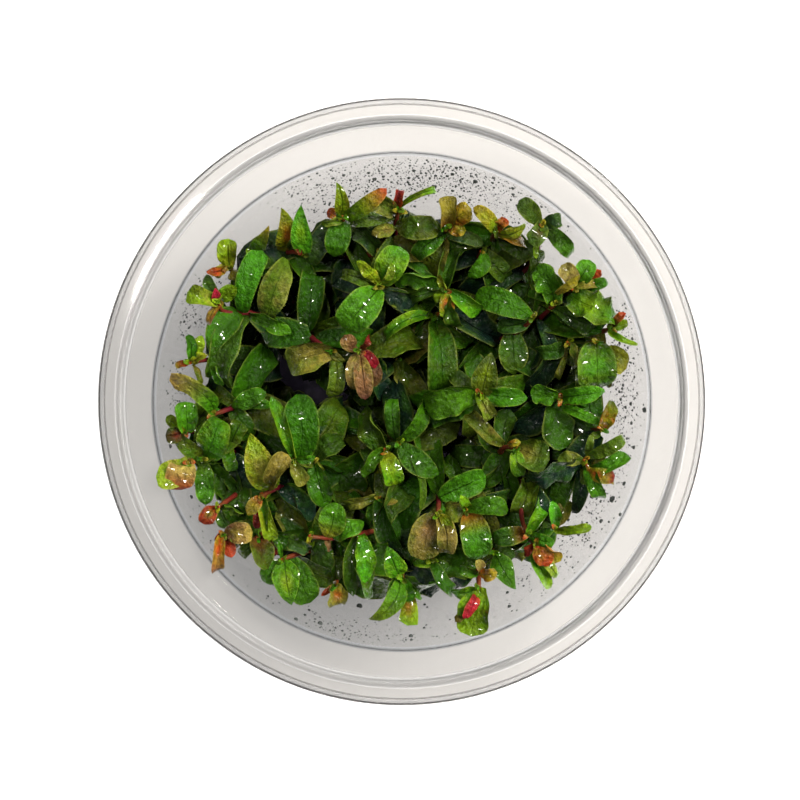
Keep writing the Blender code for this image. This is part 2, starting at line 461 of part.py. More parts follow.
def stem_frames(path):
    """Forward, side and up directions of every straight stretch of a stem."""
    side = np.array((0.31, 0.95, 0.0))
    frames = []
    for start, end in zip(path, path[1:]):
        forward = (end - start) / np.linalg.norm(end - start)
        side = side - forward * side.dot(forward)
        side /= np.linalg.norm(side)
        frames.append((forward, side, np.cross(side, forward)))
    return frames


def stretch_at(path, distance):
    """The stretch of a stem at a distance down from its crown, and the distance along that stretch."""
    for k in range(len(path) - 1):
        length = np.linalg.norm(path[k + 1] - path[k])
        if distance <= length or k == len(path) - 2:
            return k, distance
        distance -= length


def point_at(path, distance):
    """The middle of the stem at a distance down from its crown."""
    k, along = stretch_at(path, distance)
    return path[k] + (path[k + 1] - path[k]) / np.linalg.norm(path[k + 1] - path[k]) * along


def ring_at(path, distance, radius=STEM_RADIUS):
    """The stem's four corners at a distance down from its crown, mitred at a bend."""
    frames = stem_frames(path)
    k, along = stretch_at(path, distance)
    side, up = frames[k][1:]
    length = np.linalg.norm(path[k + 1] - path[k])
    if abs(along - length) < 1e-6 and k + 1 < len(frames):
        side = side + frames[k + 1][1]
        up = up + frames[k + 1][2]
        side = side / np.linalg.norm(side)
        up = up / np.linalg.norm(up)
    centre = point_at(path, distance)
    return [centre - side * radius, centre + up * radius, centre + side * radius, centre - up * radius]


def bends_of(path):
    """Distances down the stem of its crown, its bends and its root."""
    lengths = [np.linalg.norm(end - start) for start, end in zip(path, path[1:])]
    return [0.0] + list(np.cumsum(lengths))


def stem_body(path, radius=STEM_RADIUS):
    """Four-sided stem along its path from the crown down to the root."""
    return skin([ring_at(path, distance, radius) for distance in bends_of(path)])


def socket_loop(path, socket, spread=0.0):
    """Corners of the small face of the stem that a leaf grows from, in the leaf's outward order."""
    distance, face = socket
    high = ring_at(path, distance - SOCKET / 2)
    low = ring_at(path, distance + SOCKET / 2)
    after = (face + 1) % 4
    loop = np.array([high[face], high[after], low[after], low[face]])
    middle = loop.mean(axis=0)
    return loop + (loop - middle) / np.linalg.norm(loop - middle, axis=1)[:, None] * spread


def leaf_rings(path, socket, base, tip, width, spread=0.0):
    """Sections of a thin blade, from its foot on the stem out along an arched midrib, and its tip."""
    length = np.linalg.norm(tip - base)
    middle = (base + tip) / 2 + np.array((0.0, 0.0, LEAF_ARCH * length))
    across = np.cross(tip - base, (0.0, 0.0, 1.0))
    across /= np.linalg.norm(across)
    foot = socket_loop(path, socket, spread)
    stations = [(0.42, 0.96), (0.78, 0.78)] if length > 3.2 else [(0.55, 0.95)]
    if np.linalg.norm(base - foot.mean(axis=0)) > 1.6:
        stations.insert(0, (0.0, 0.25))
    centres = [foot.mean(axis=0)]
    centres += [(1 - t) ** 2 * base + 2 * t * (1 - t) * middle + t * t * tip for t, share in stations]
    centres.append(tip)
    rings = []
    for k, (t, share) in enumerate(stations, 1):
        forward = centres[k + 1] - centres[k - 1]
        up = np.cross(across, forward / np.linalg.norm(forward))
        full = max(share * width, STALK_WIDTH)
        reach = across * (full / 2 + spread)
        thick = up * (LEAF_THICKNESS / 2 + spread)
        rings.append([centres[k] - reach + thick, centres[k] + reach + thick,
                      centres[k] + reach - thick, centres[k] - reach - thick])
    first = np.array(rings[0]) - centres[1]
    turn = max(range(4), key=lambda k: np.sum((np.roll(foot, k, axis=0) - centres[0]) * first))
    rings.insert(0, list(np.roll(foot, turn, axis=0)))
    end = tip - centres[-2]
    return rings, tip + end / np.linalg.norm(end) * spread


def leaf_body(path, socket, base, tip, width, spread=0.0):
    """A leaf as a closed body of its own, its foot a hair off the stem."""
    rings, end = leaf_rings(path, socket, base, tip, width, spread)
    off = np.cross(rings[0][1] - rings[0][0], rings[0][2] - rings[0][0])
    off *= 0.03 / np.linalg.norm(off)
    rings[0] = [corner + off for corner in rings[0]]
    return skin(rings, end)


def triangles_of(faces, first=0):
    """Faces cut into fans of triangles, their corners counted on from a first one."""
    return [(first + face[0], first + face[k], first + face[k + 1])
            for face in faces for k in range(1, len(face) - 1)]


def tree_of(bodies):
    """One search tree over the triangles of several bodies."""
    points = []
    triangles = []
    for body_points, body_faces in bodies:
        triangles.extend(triangles_of(body_faces, len(points)))
        points.extend(tuple(point) for point in body_points)
    return BVHTree.FromPolygons(points, triangles, all_triangles=True)


def crosses_itself(body):
    """Whether triangles of a body that share no corner run through one another."""
    triangles = triangles_of(body[1])
    tree = tree_of([body])
    return any(not set(triangles[a]) & set(triangles[b]) for a, b in tree.overlap(tree))


def is_free(body, others):
    """Whether a body stays inside the cup and clear of the neighbouring shoots."""
    points = np.array(body[0])
    reach = np.hypot(points[:, 0], points[:, 1])
    if np.any(reach > wall_radius(points[:, 2]) - 0.3) or points[:, 2].min() < GEL_TOP + GEL_GAP:
        return False
    return others is None or not others.overlap(tree_of([body]))


def stem_paths(route):
    """Ways down for a stem: its seen points, then roots further off, then the crown a little lower."""
    last = route[-1]
    steps = sorted(((dx, dy) for dx in range(-8, 9, 2) for dy in range(-8, 9, 2)),
                   key=lambda step: (step[0] ** 2 + step[1] ** 2, step))
    for drop in (0.0, 0.8, 1.6, 2.4):
        seen = [true_point(x, y, z - drop) for x, y, z in route]
        for dx, dy in steps:
            root = np.array((last[0] * 0.9 + dx, last[1] * 0.9 + dy))
            root *= min(1.0, ROOT_LIMIT / max(np.hypot(*root), 0.01))
            yield seen + [np.array((root[0], root[1], GEL_TOP + 0.6))]


def find_socket(path, sockets, base, tip):
    """A free face of the stem near a leaf's base that looks towards the leaf: distance down and face."""
    total = bends_of(path)[-1]
    spots = np.arange(0.5, total - 1.0, 0.25)
    middles = np.array([point_at(path, spot) for spot in spots])
    above = np.maximum(middles[:, 2] - base[2] + 0.3, 0.0)
    want = spots[np.argmin(np.linalg.norm(middles - base, axis=1) + above)]
    levels = sorted({distance for distance, face in sockets})
    near = [level for level in levels if abs(level - want) < 1.3]
    fresh = [spot for spot in spots if all(abs(spot - level) > SOCKET + 0.1 for level in levels)]
    for distance in sorted(near, key=lambda level: abs(level - want)) + sorted(
            fresh, key=lambda spot: abs(spot - want))[:3]:
        side, up = stem_frames(path)[stretch_at(path, distance)[0]][1:]
        toward = base + 0.25 * (tip - base) - point_at(path, distance)
        looks = [toward.dot(normal) for normal in (up - side, side + up, side - up, -side - up)]
        face = int(np.argmax(looks))
        if (distance, face) not in sockets:
            return distance, face
    return None


def leaf_choices(leaf):
    """A leaf as planned, then with its tip and its base moved up or down along the eye's lines."""
    base_x, base_y, base_z, tip_x, tip_y, tip_z, width, tone = leaf
    moves = sorted(((rise, sink, slim) for rise in np.arange(-9.1, 4.0, 0.7)
                    for sink in np.arange(-6.3, 0.8, 0.7) for slim in (1.0, 0.75, 0.5)),
                   key=lambda move: (abs(move[0]) + 1.3 * abs(move[1]) + 7.0 * (1.0 - move[2]), move))
    for rise, sink, slim in moves:
        base = true_point(base_x, base_y, base_z + sink)
        tip = true_point(tip_x, tip_y, min(tip_z + rise, TALLEST_TIP))
        yield base, tip, width * slim


def place_leaf(path, leaf, kept, others, own):
    """The first choice of a leaf that has a free face of the stem and touches nothing."""
    sockets = {one[0] for one in kept}
    for base, tip, width in leaf_choices(leaf):
        socket = find_socket(path, sockets, base, tip)
        if socket is None:
            continue
        choice = (socket, base, tip, width)
        if not is_free(leaf_body(path, *choice, NEIGHBOUR_GAP), others):
            continue
        if is_free(leaf_body(path, *choice), own) and not crosses_itself(shoot_body(path, kept + [choice])):
            return choice
    return None


def settle_shoots():
    """Stem path and leaves of every shoot, the tallest first, each kept clear of those before it."""
    order = sorted(range(len(SHOOTS)), key=lambda index: (-SHOOTS[index][0][0][2], index))
    placed = []
    settled = {}
    for index in order:
        route, leaves = SHOOTS[index]
        others = tree_of(placed) if placed else None
        wide = STEM_RADIUS + NEIGHBOUR_GAP
        path = next(way for way in stem_paths(route) if is_free(stem_body(way, wide), others))
        own = [stem_body(path)]
        kept = []
        for leaf in leaves:
            choice = place_leaf(path, leaf, kept, others, tree_of(own))
            if choice:
                kept.append(choice)
                own.append(leaf_body(path, *choice))
        settled[index] = (path, kept)
        placed.append(stem_body(path, wide))
        placed.extend(leaf_body(path, *choice, NEIGHBOUR_GAP) for choice in kept)
    return [settled[index] for index in range(len(SHOOTS))]


def new_material(name, colour, roughness, **extra):
    """A Principled material with a base colour and a roughness."""
    material = bpy.data.materials.new(name)
    material.use_nodes = True
    shader = material.node_tree.nodes["Principled BSDF"]
    shader.inputs["Base Color"].default_value = (*colour, 1.0)
    shader.inputs["Roughness"].default_value = roughness
    for socket, value in extra.items():
        shader.inputs[socket.replace("_", " ")].default_value = value
    return material


def new_object(name, body, collection, scale=MM):
    """An object of triangles from points in millimetres and faces."""
    points, faces = body
    mesh = bpy.data.meshes.new(name)
    mesh.from_pydata([tuple(scale * value for value in point) for point in points], [], triangles_of(faces))
    mesh.update()
    made = bpy.data.objects.new(name, mesh)
    collection.objects.link(made)
    return made


def lathe(profile, segments):
    """Closed body turned round the upright axis; the profile starts and ends on that axis."""
    points = [(0.0, 0.0, profile[0][1]), (0.0, 0.0, profile[-1][1])]
    faces = []
    for radius, z in profile[1:-1]:
        for step in range(segments):
            angle = math.tau * step / segments
            points.append((radius * math.cos(angle), radius * math.sin(angle), z))
    rings = len(profile) - 2
    for step in range(segments):
        after = (step + 1) % segments
        faces.append((0, 2 + after, 2 + step))
        for ring in range(rings - 1):
            low = 2 + ring * segments
            high = low + segments
            faces.append((low + step, low + after, high + after, high + step))
        last = 2 + (rings - 1) * segments
        faces.append((1, last + step, last + after))
    return points, faces


def cup_profile():
    """The cup's section from the middle of its underside, up the outside, over the lip, down inside."""
    slope = math.atan2(WALL_TOP[0] - WALL_BOTTOM[0], WALL_TOP[1] - WALL_BOTTOM[1])
    out = WALL / math.cos(slope)
    under_ledge = LEDGE_BEAD[1] - WALL
    skirt = CUP_HEIGHT - SKIRT_DROP
    outside = [
        (0.0, FOOT_RECESS), (FOOT_INNER - 0.6, FOOT_RECESS), (FOOT_INNER, 0.0), (FOOT_OUTER, 0.0),
        (WALL_BOTTOM[0] + 0.1, 0.7), (WALL_BOTTOM[0] + out, WALL_BOTTOM[1]),
        (WALL_TOP[0] + out, WALL_TOP[1]), (LEDGE_BEAD[0] + 0.1, under_ledge),
        (LEDGE_OUTER[0] + 0.4, LEDGE_OUTER[1] - WALL), (STEP_RADIUS + WALL, LEDGE_OUTER[1]),
        (STEP_RADIUS + WALL, CUP_HEIGHT - WALL), (LIP_RADIUS - WALL, CUP_HEIGHT - WALL),
        (LIP_RADIUS - WALL, skirt), (LIP_RADIUS, skirt), (LIP_RADIUS, CUP_HEIGHT - 0.5),
        (LIP_RADIUS - 0.5, CUP_HEIGHT),
    ]
    inside = [
        (STEP_RADIUS + 0.4, CUP_HEIGHT), (STEP_RADIUS, CUP_HEIGHT - 0.5),
        (LEDGE_OUTER[0] + 0.2, LEDGE_OUTER[1] + 0.4), (LEDGE_OUTER[0] - 0.3, LEDGE_OUTER[1]),
        LEDGE_BEAD, (WALL_TOP[0] + 0.6, WALL_TOP[1] + 1.1), WALL_TOP, WALL_BOTTOM,
        (WALL_BOTTOM[0] - 0.9, FLOOR_TOP), (0.0, FLOOR_TOP),
    ]
    return outside + inside


def gel_profile():
    """The gel's section: a disc that follows the cup's floor, heel and wall."""
    low = FLOOR_TOP + GEL_GAP
    return [
        (0.0, low), (WALL_BOTTOM[0] - 0.9 - GEL_GAP, low),
        (WALL_BOTTOM[0] - GEL_GAP - 0.1, WALL_BOTTOM[1] + 0.3),
        (float(wall_radius(GEL_TOP)) - GEL_GAP - 0.1, GEL_TOP - 0.3),
        (float(wall_radius(GEL_TOP)) - GEL_GAP - 0.4, GEL_TOP), (0.0, GEL_TOP),
    ]


def shoot_body(path, leaves):
    """One grown shoot as a single closed skin: the stem, with a leaf drawn out of each socket."""
    sockets = {socket: leaf for socket, *leaf in leaves}
    levels = sorted({distance for distance, face in sockets})
    cuts = sorted([level - SOCKET / 2 for level in levels] + [level + SOCKET / 2 for level in levels])
    cuts += [bend for bend in bends_of(path)
             if all(abs(bend - level) > SOCKET / 2 + 0.1 for level in levels)]
    cuts.sort()
    points = [corner for cut in cuts for corner in ring_at(path, cut)]
    faces = [(3, 2, 1, 0), tuple(range(len(points) - 4, len(points)))]
    for k, (high, low) in enumerate(zip(cuts, cuts[1:])):
        for face in range(4):
            after = (face + 1) % 4
            loop = [4 * k + face, 4 * k + after, 4 * k + 4 + after, 4 * k + 4 + face]
            socket = next((one for one in sockets if one[1] == face and high < one[0] < low), None)
            if socket is None:
                faces.append(tuple(loop))
                continue
            rings, tip = leaf_rings(path, socket, *sockets[socket])
            turn = max(range(4), key=lambda k: -np.linalg.norm(points[loop[-k]] - rings[0][0]))
            loop = loop[-turn:] + loop[:-turn] if turn else loop
            first = len(points)
            points.extend(corner for ring in rings[1:] for corner in ring)
            points.append(tip)
            loops = [loop] + [list(range(first + 4 * n, first + 4 * n + 4)) for n in range(len(rings) - 1)]
            for here, there in zip(loops, loops[1:]):
                faces.extend((here[j], here[(j + 1) % 4], there[(j + 1) % 4], there[j]) for j in range(4))
            faces.extend((loops[-1][j], loops[-1][(j + 1) % 4], len(points) - 1) for j in range(4))
    return points, faces


def build():
    """The cup, the gel and every shoot."""
    for thing in list(bpy.data.objects):
        bpy.data.objects.remove(thing, do_unlink=True)
    scene = bpy.context.scene.collection
    plant = bpy.data.collections.new("rotala_in_cup")
    scene.children.link(plant)
    cup = new_object("clear_cup", lathe(cup_profile(), CUP_SEGMENTS), plant)
    cup.data.materials.append(new_material("clear_cup", (0.86, 0.86, 0.84), 0.15, Alpha=0.35))
    gel = new_object("nutrient_gel", lathe(gel_profile(), GEL_SEGMENTS), plant)
    gel.data.materials.append(new_material("nutrient_gel", (0.80, 0.78, 0.66), 0.2, Alpha=0.5))
    for number, (path, leaves) in enumerate(settle_shoots(), 1):
        name = f"shoot_{number:02d}"
        shoot = new_object(name, shoot_body(path, leaves), plant)
        shoot.data.materials.append(new_material(name, TONES[SHOOTS[number - 1][1][0][7]], 0.4))


build()
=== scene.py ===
"""Studio scene of tissue-cultured red rotala shoots in a round clear cup, seen straight from above.

Sizes are in millimetres and become metres where a mesh is made.
"""

import bpy
import numpy as np
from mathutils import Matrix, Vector


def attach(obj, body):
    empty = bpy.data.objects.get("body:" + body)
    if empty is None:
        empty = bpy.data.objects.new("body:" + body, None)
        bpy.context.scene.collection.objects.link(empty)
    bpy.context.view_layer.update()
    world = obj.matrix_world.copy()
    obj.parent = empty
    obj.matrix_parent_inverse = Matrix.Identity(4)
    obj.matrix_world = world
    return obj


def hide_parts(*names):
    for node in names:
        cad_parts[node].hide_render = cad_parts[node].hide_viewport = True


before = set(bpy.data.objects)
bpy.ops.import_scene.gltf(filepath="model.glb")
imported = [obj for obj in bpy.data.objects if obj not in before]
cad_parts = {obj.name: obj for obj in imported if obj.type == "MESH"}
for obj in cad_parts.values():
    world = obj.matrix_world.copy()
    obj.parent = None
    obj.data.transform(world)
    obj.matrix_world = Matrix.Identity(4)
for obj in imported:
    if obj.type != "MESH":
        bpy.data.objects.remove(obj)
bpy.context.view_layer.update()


# Clear cup
# One thin shell of clear, faintly milky plastic: flat foot, tapered wall, a ledge with a bead, a straight
# step and a flat lip with a short turned-down skirt. It is moulded in one piece and stands on its foot.
MM = 0.001
CUP_HEIGHT = 50.0
LIP_RADIUS = 50.25
WALL = 0.8
FLOOR_TOP = 1.8
FOOT_OUTER = 32.4
FOOT_INNER = 30.4
FOOT_RECESS = 0.8
WALL_BOTTOM = (34.3, 2.6)
WALL_TOP = (41.7, 43.5)
LEDGE_BEAD = (43.9, 45.1)
LEDGE_OUTER = (46.0, 45.7)
STEP_RADIUS = 46.5
SKIRT_DROP = 3.2
# How far the floor's edge lies inside the foot of the wall.
HEEL = 0.9
CORNER_ROUNDING = 0.45
CUP_SEGMENTS = 160
# Tints of the rim, of the wall looked through squarely and along its slant, of the bead, greyer with painted
# shade, and of the step, and how see-through the rim, the wall and the step are.
CUP_TINT = (0.452, 0.440, 0.425)
WALL_TINT = (0.88, 0.88, 0.87)
WALL_SLANT_TINT = (0.125, 0.120, 0.115)
BEAD_PAINTED_SHADE_TINT = (0.235, 0.24, 0.25)
STEP_TINT = (0.68, 0.68, 0.68)
CLEARNESS = 0.91
WALL_CLEARNESS = 1.0
STEP_CLEARNESS = 0.62
# The thin walls hardly bend what is seen through them, so the index is below the plastic's own.
PLASTIC_IOR = 1.22
# Roughness of the plastic in the troughs and on the crests of its moulding waves, and how deep they look.
GLOSS = (0.03, 0.10)
WAVE_STRENGTH = 0.12
WAVE_DEPTH = 0.0004
# The rim's plastic starts this far below the top of the wall.
RIM_START = 0.55
# The bead's plastic: how far outside the wall's top its middle lies, and its half width.
BEAD_BAND = (0.2, 0.45)
# A band this near to the step's wall or the skirt belongs to it, and the lip's top face doesn't.
BAND_MARGIN = 0.1
LIP_FACE = 0.03


def closed_faces(rings, around, first=0):
    """Faces of a closed skin over a start pole, rings of equal size and an end pole, in that order."""
    ring, step = np.meshgrid(np.arange(rings - 1), np.arange(around), indexing="ij")
    after = (step + 1) % around
    here = first + 1 + ring * around
    quads = np.stack([here + step, here + after, here + after + around, here + step + around], axis=-1)
    step = np.arange(around)
    after = (step + 1) % around
    last = first + 1 + (rings - 1) * around
    start = np.stack([np.full(around, first), first + 1 + after, first + 1 + step], axis=-1)
    end = np.stack([np.full(around, last + around), last + step, last + after], axis=-1)
    return quads.reshape(-1, 4).tolist() + start.tolist() + end.tolist()


def new_piece(name, points, faces, materials, sharp=0.7):
    """A smooth-shaded mesh object from points in millimetres, with its edges past an angle kept sharp."""
    mesh = bpy.data.meshes.new(name)
    mesh.from_pydata((np.asarray(points) * MM).tolist(), [], faces)
    for material in materials:
        mesh.materials.append(material)
    mesh.shade_smooth()
    mesh.set_sharp_from_angle(angle=sharp)
    piece = bpy.data.objects.new(name, mesh)
    bpy.context.scene.collection.objects.link(piece)
    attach(piece, "root")
    return piece


def rounded(corners, radius, steps=4):
    """A profile whose corners become short arcs: each is a quadratic curve between two cut-back points."""
    corners = np.asarray(corners, float)
    before = corners[:-2] - corners[1:-1]
    after = corners[2:] - corners[1:-1]
    long_before = np.linalg.norm(before, axis=1)
    long_after = np.linalg.norm(after, axis=1)
    cut = np.minimum(radius, 0.42 * np.minimum(long_before, long_after))[:, None]
    start = corners[1:-1] + before / long_before[:, None] * cut
    end = corners[1:-1] + after / long_after[:, None] * cut
    t = np.linspace(0.0, 1.0, steps)[:, None, None]
    arcs = (1 - t) ** 2 * start + 2 * t * (1 - t) * corners[1:-1] + t ** 2 * end
    return np.vstack([corners[:1], arcs.transpose(1, 0, 2).reshape(-1, 2), corners[-1:]])


def turned(profile, segments):
    """Points of a profile (radius, height) turned round the upright axis, its two ends on that axis."""
    angle = np.linspace(0.0, 2 * np.pi, segments, endpoint=False)
    radius = profile[1:-1, 0][:, None]
    height = np.repeat(profile[1:-1, 1][:, None], segments, axis=1)
    wall = np.stack([radius * np.cos(angle), radius * np.sin(angle), height], axis=-1)
    ends = [(0.0, 0.0, profile[0, 1]), (0.0, 0.0, profile[-1, 1])]
    return np.vstack([ends[:1], wall.reshape(-1, 3), ends[1:]])


def cup_profile():
    """The cup's section from the middle of its underside, up the outside, over the lip, down inside."""
    slope = np.arctan2(WALL_TOP[0] - WALL_BOTTOM[0], WALL_TOP[1] - WALL_BOTTOM[1])
    out = WALL / np.cos(slope)
    skirt = CUP_HEIGHT - SKIRT_DROP
    outside = [
        (0.0, FOOT_RECESS), (FOOT_INNER - 0.6, FOOT_RECESS), (FOOT_INNER, 0.0), (FOOT_OUTER, 0.0),
        (WALL_BOTTOM[0] + 0.1, 0.7), (WALL_BOTTOM[0] + out, WALL_BOTTOM[1]),
        (WALL_TOP[0] + out, WALL_TOP[1]), (LEDGE_BEAD[0] + 0.1, LEDGE_BEAD[1] - WALL),
        (LEDGE_OUTER[0] + 0.4, LEDGE_OUTER[1] - WALL), (STEP_RADIUS + WALL, LEDGE_OUTER[1]),
        (STEP_RADIUS + WALL, CUP_HEIGHT - WALL), (LIP_RADIUS - WALL, CUP_HEIGHT - WALL),
        (LIP_RADIUS - WALL, skirt), (LIP_RADIUS, skirt), (LIP_RADIUS, CUP_HEIGHT),
    ]
    inside = [
        (STEP_RADIUS + WALL, CUP_HEIGHT), (STEP_RADIUS, CUP_HEIGHT), (LEDGE_OUTER[0] + 0.3, LEDGE_OUTER[1]),
        LEDGE_BEAD, (WALL_TOP[0] + 0.6, WALL_TOP[1] + 1.1), WALL_TOP, WALL_BOTTOM,
        (WALL_BOTTOM[0] - HEEL, FLOOR_TOP), (0.0, FLOOR_TOP),
    ]
    return rounded(outside + inside, CORNER_ROUNDING)


def new_material(name):
    """A new material, with its nodes, its links and its shader."""
    material = bpy.data.materials.new(name)
    material.use_nodes = True
    nodes = material.node_tree.nodes
    return material, nodes, material.node_tree.links, nodes["Principled BSDF"]


def raise_surface(material, height, strength, depth):
    """Bumps of a strength on a material's shader, from a height value that stands for a depth in metres."""
    nodes = material.node_tree.nodes
    links = material.node_tree.links
    bump = nodes.new("ShaderNodeBump")
    bump.inputs["Strength"].default_value = strength
    bump.inputs["Distance"].default_value = depth
    links.new(height, bump.inputs["Height"])
    links.new(bump.outputs["Normal"], nodes["Principled BSDF"].inputs["Normal"])


def mixed_tints(material, amount, first, second):
    """A colour that runs from one tint to another by an amount of 0 to 1, each tint fixed or a node's."""
    links = material.node_tree.links
    tint = material.node_tree.nodes.new("ShaderNodeMix")
    tint.data_type = "RGBA"
    for name, value in (("A", first), ("B", second)):
        if isinstance(value, bpy.types.NodeSocket):
            links.new(value, tint.inputs[name])
        else:
            tint.inputs[name].default_value = (*value, 1.0)
    links.new(amount, tint.inputs["Factor"])
    return tint.outputs["Result"]


def moulding_waves():
    """A shader group of the faint waves that moulding leaves: noise at a place, as roughness and height."""
    group = bpy.data.node_groups.new("moulding_waves", "ShaderNodeTree")
    for name, kind in (("Place", "Vector"), ("Trough Roughness", "Float"), ("Crest Roughness", "Float")):
        group.interface.new_socket(name, in_out="INPUT", socket_type=f"NodeSocket{kind}")
    for name in ("Roughness", "Height"):
        group.interface.new_socket(name, in_out="OUTPUT", socket_type="NodeSocketFloat")
    given = group.nodes.new("NodeGroupInput").outputs
    result = group.nodes.new("NodeGroupOutput").inputs
    waves = group.nodes.new("ShaderNodeTexNoise")
    waves.inputs["Scale"].default_value = 140.0
    waves.inputs["Detail"].default_value = 2.0
    roughness = group.nodes.new("ShaderNodeMapRange")
    group.links.new(given["Place"], waves.inputs["Vector"])
    group.links.new(waves.outputs["Fac"], roughness.inputs["Value"])
    group.links.new(given["Trough Roughness"], roughness.inputs["To Min"])
    group.links.new(given["Crest Roughness"], roughness.inputs["To Max"])
    group.links.new(roughness.outputs["Result"], result["Roughness"])
    group.links.new(waves.outputs["Fac"], result["Height"])
    return group


def plastic(name, tint, clearness, surface):
    """Moulded plastic: a plain tint, mostly see-through, with a soft gloss and faint moulding waves."""
    material, nodes, links, shader = new_material(name)
    shader.inputs["Base Color"].default_value = (*tint, 1.0)
    shader.inputs["Transmission Weight"].default_value = clearness
    shader.inputs["IOR"].default_value = PLASTIC_IOR
    place = nodes.new("ShaderNodeTexCoord")
    waves = nodes.new("ShaderNodeGroup")
    waves.node_tree = surface
    waves.inputs["Trough Roughness"].default_value = GLOSS[0]
    waves.inputs["Crest Roughness"].default_value = GLOSS[1]
    links.new(place.outputs["Object"], waves.inputs["Place"])
    links.new(waves.outputs["Roughness"], shader.inputs["Roughness"])
    raise_surface(material, waves.outputs["Height"], WAVE_STRENGTH, WAVE_DEPTH)
    return material


def wall_plastic(surface):
    """The tapered wall's plastic: clear where it is looked through squarely, greyer along its slant."""
    material = plastic("clear_wall", WALL_TINT, WALL_CLEARNESS, surface)
    nodes = material.node_tree.nodes
    links = material.node_tree.links
    slant = nodes.new("ShaderNodeLayerWeight")
    amount = nodes.new("ShaderNodeMapRange")
    amount.interpolation_type = "SMOOTHSTEP"
    amount.inputs["From Min"].default_value = 0.25
    amount.inputs["From Max"].default_value = 0.7
    links.new(slant.outputs["Facing"], amount.inputs["Value"])
    tint = mixed_tints(material, amount.outputs["Result"], WALL_TINT, WALL_SLANT_TINT)
    links.new(tint, nodes["Principled BSDF"].inputs["Base Color"])
    return material


def plastic_slots(profile):
    """The plastic of every face: 0 the wall's, 1 the rim's, 2 the bead's and 3 the milky one, by its band."""
    radius, height = ((profile[1:-2] + profile[2:-1]) / 2).T
    on_rim = height > WALL_TOP[1] - RIM_START
    on_bead = on_rim & (np.abs(radius - WALL_TOP[0] - BEAD_BAND[0]) < BEAD_BAND[1])
    on_step = np.abs(radius - STEP_RADIUS - WALL / 2) < WALL / 2 + BAND_MARGIN
    on_step &= height > LEDGE_OUTER[1] - WALL
    on_skirt = (radius > LIP_RADIUS - WALL - BAND_MARGIN) & (height < CUP_HEIGHT - LIP_FACE)
    slot = np.select([on_step | on_skirt, on_bead, on_rim], [3, 2, 1], 0)
    return np.append(np.repeat(slot, CUP_SEGMENTS), np.zeros(2 * CUP_SEGMENTS, int))


# The rim is a plain tint, and the bead at the top of the tapered wall is greyer with painted shade. The
# step's wall and the lip's skirt, thick to look down through, are milky.
waves = moulding_waves()
plastics = [
    wall_plastic(waves),
    plastic("clear_plastic", CUP_TINT, CLEARNESS, waves),
    plastic("bead_painted_shade", BEAD_PAINTED_SHADE_TINT, CLEARNESS, waves),
    plastic("milky_step", STEP_TINT, STEP_CLEARNESS, waves),
]
profile = cup_profile()
faces = closed_faces(len(profile) - 2, CUP_SEGMENTS)
cup = new_piece("cup_shell", turned(profile, CUP_SEGMENTS), faces, plastics, sharp=1.2)
cup.data.polygons.foreach_set("material_index", plastic_slots(profile))
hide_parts("clear_cup")


# Nutrient gel
# A disc of culture jelly poured into the cup. It fills the heel of the cup, and the stems stand in it. Its
# tint is painted shade on its top, under the leaves, and painted light on its skin against the wall.
GEL_TOP = 9.0
GEL_GAP = 0.3
GEL_ROUNDING = 0.4
GEL_SEGMENTS = 96
# Painted shade: the top's two dark tints, mottled. Painted light: the pale tint of the skin by the wall.
GEL_PAINTED_SHADE_TINT = (0.030, 0.024, 0.040)
GEL_DEEP_PAINTED_SHADE_TINT = (0.0105, 0.0084, 0.0140)
GEL_SKIN_PAINTED_LIGHT_TINT = (0.40, 0.40, 0.31)
# The radii between which the jelly's painted shade turns into the painted light of its skin.
GEL_SKIN = (32.5, 33.8)


def wall_radius(height):
    """Inside radius of the cup at a height."""
    heights = (WALL_BOTTOM[1], WALL_TOP[1], LEDGE_BEAD[1], LEDGE_OUTER[1], CUP_HEIGHT)
    radii = (WALL_BOTTOM[0], WALL_TOP[0], LEDGE_BEAD[0], LEDGE_OUTER[0], STEP_RADIUS)
    return np.interp(height, heights, radii)


def gel_profile():
    """The gel's section, a disc that follows the cup's floor, heel and wall with a climbing edge."""
    low = FLOOR_TOP + GEL_GAP
    edge = wall_radius(GEL_TOP) - GEL_GAP
    corners = [
        (0.0, low), (WALL_BOTTOM[0] - HEEL - GEL_GAP, low),
        (WALL_BOTTOM[0] - GEL_GAP - 0.1, WALL_BOTTOM[1] + 0.3), (edge - 0.05, GEL_TOP),
        (edge - 0.9, GEL_TOP - 0.45), (edge - 2.6, GEL_TOP - 0.6), (0.0, GEL_TOP - 0.6),
    ]
    return rounded(corners, GEL_ROUNDING)


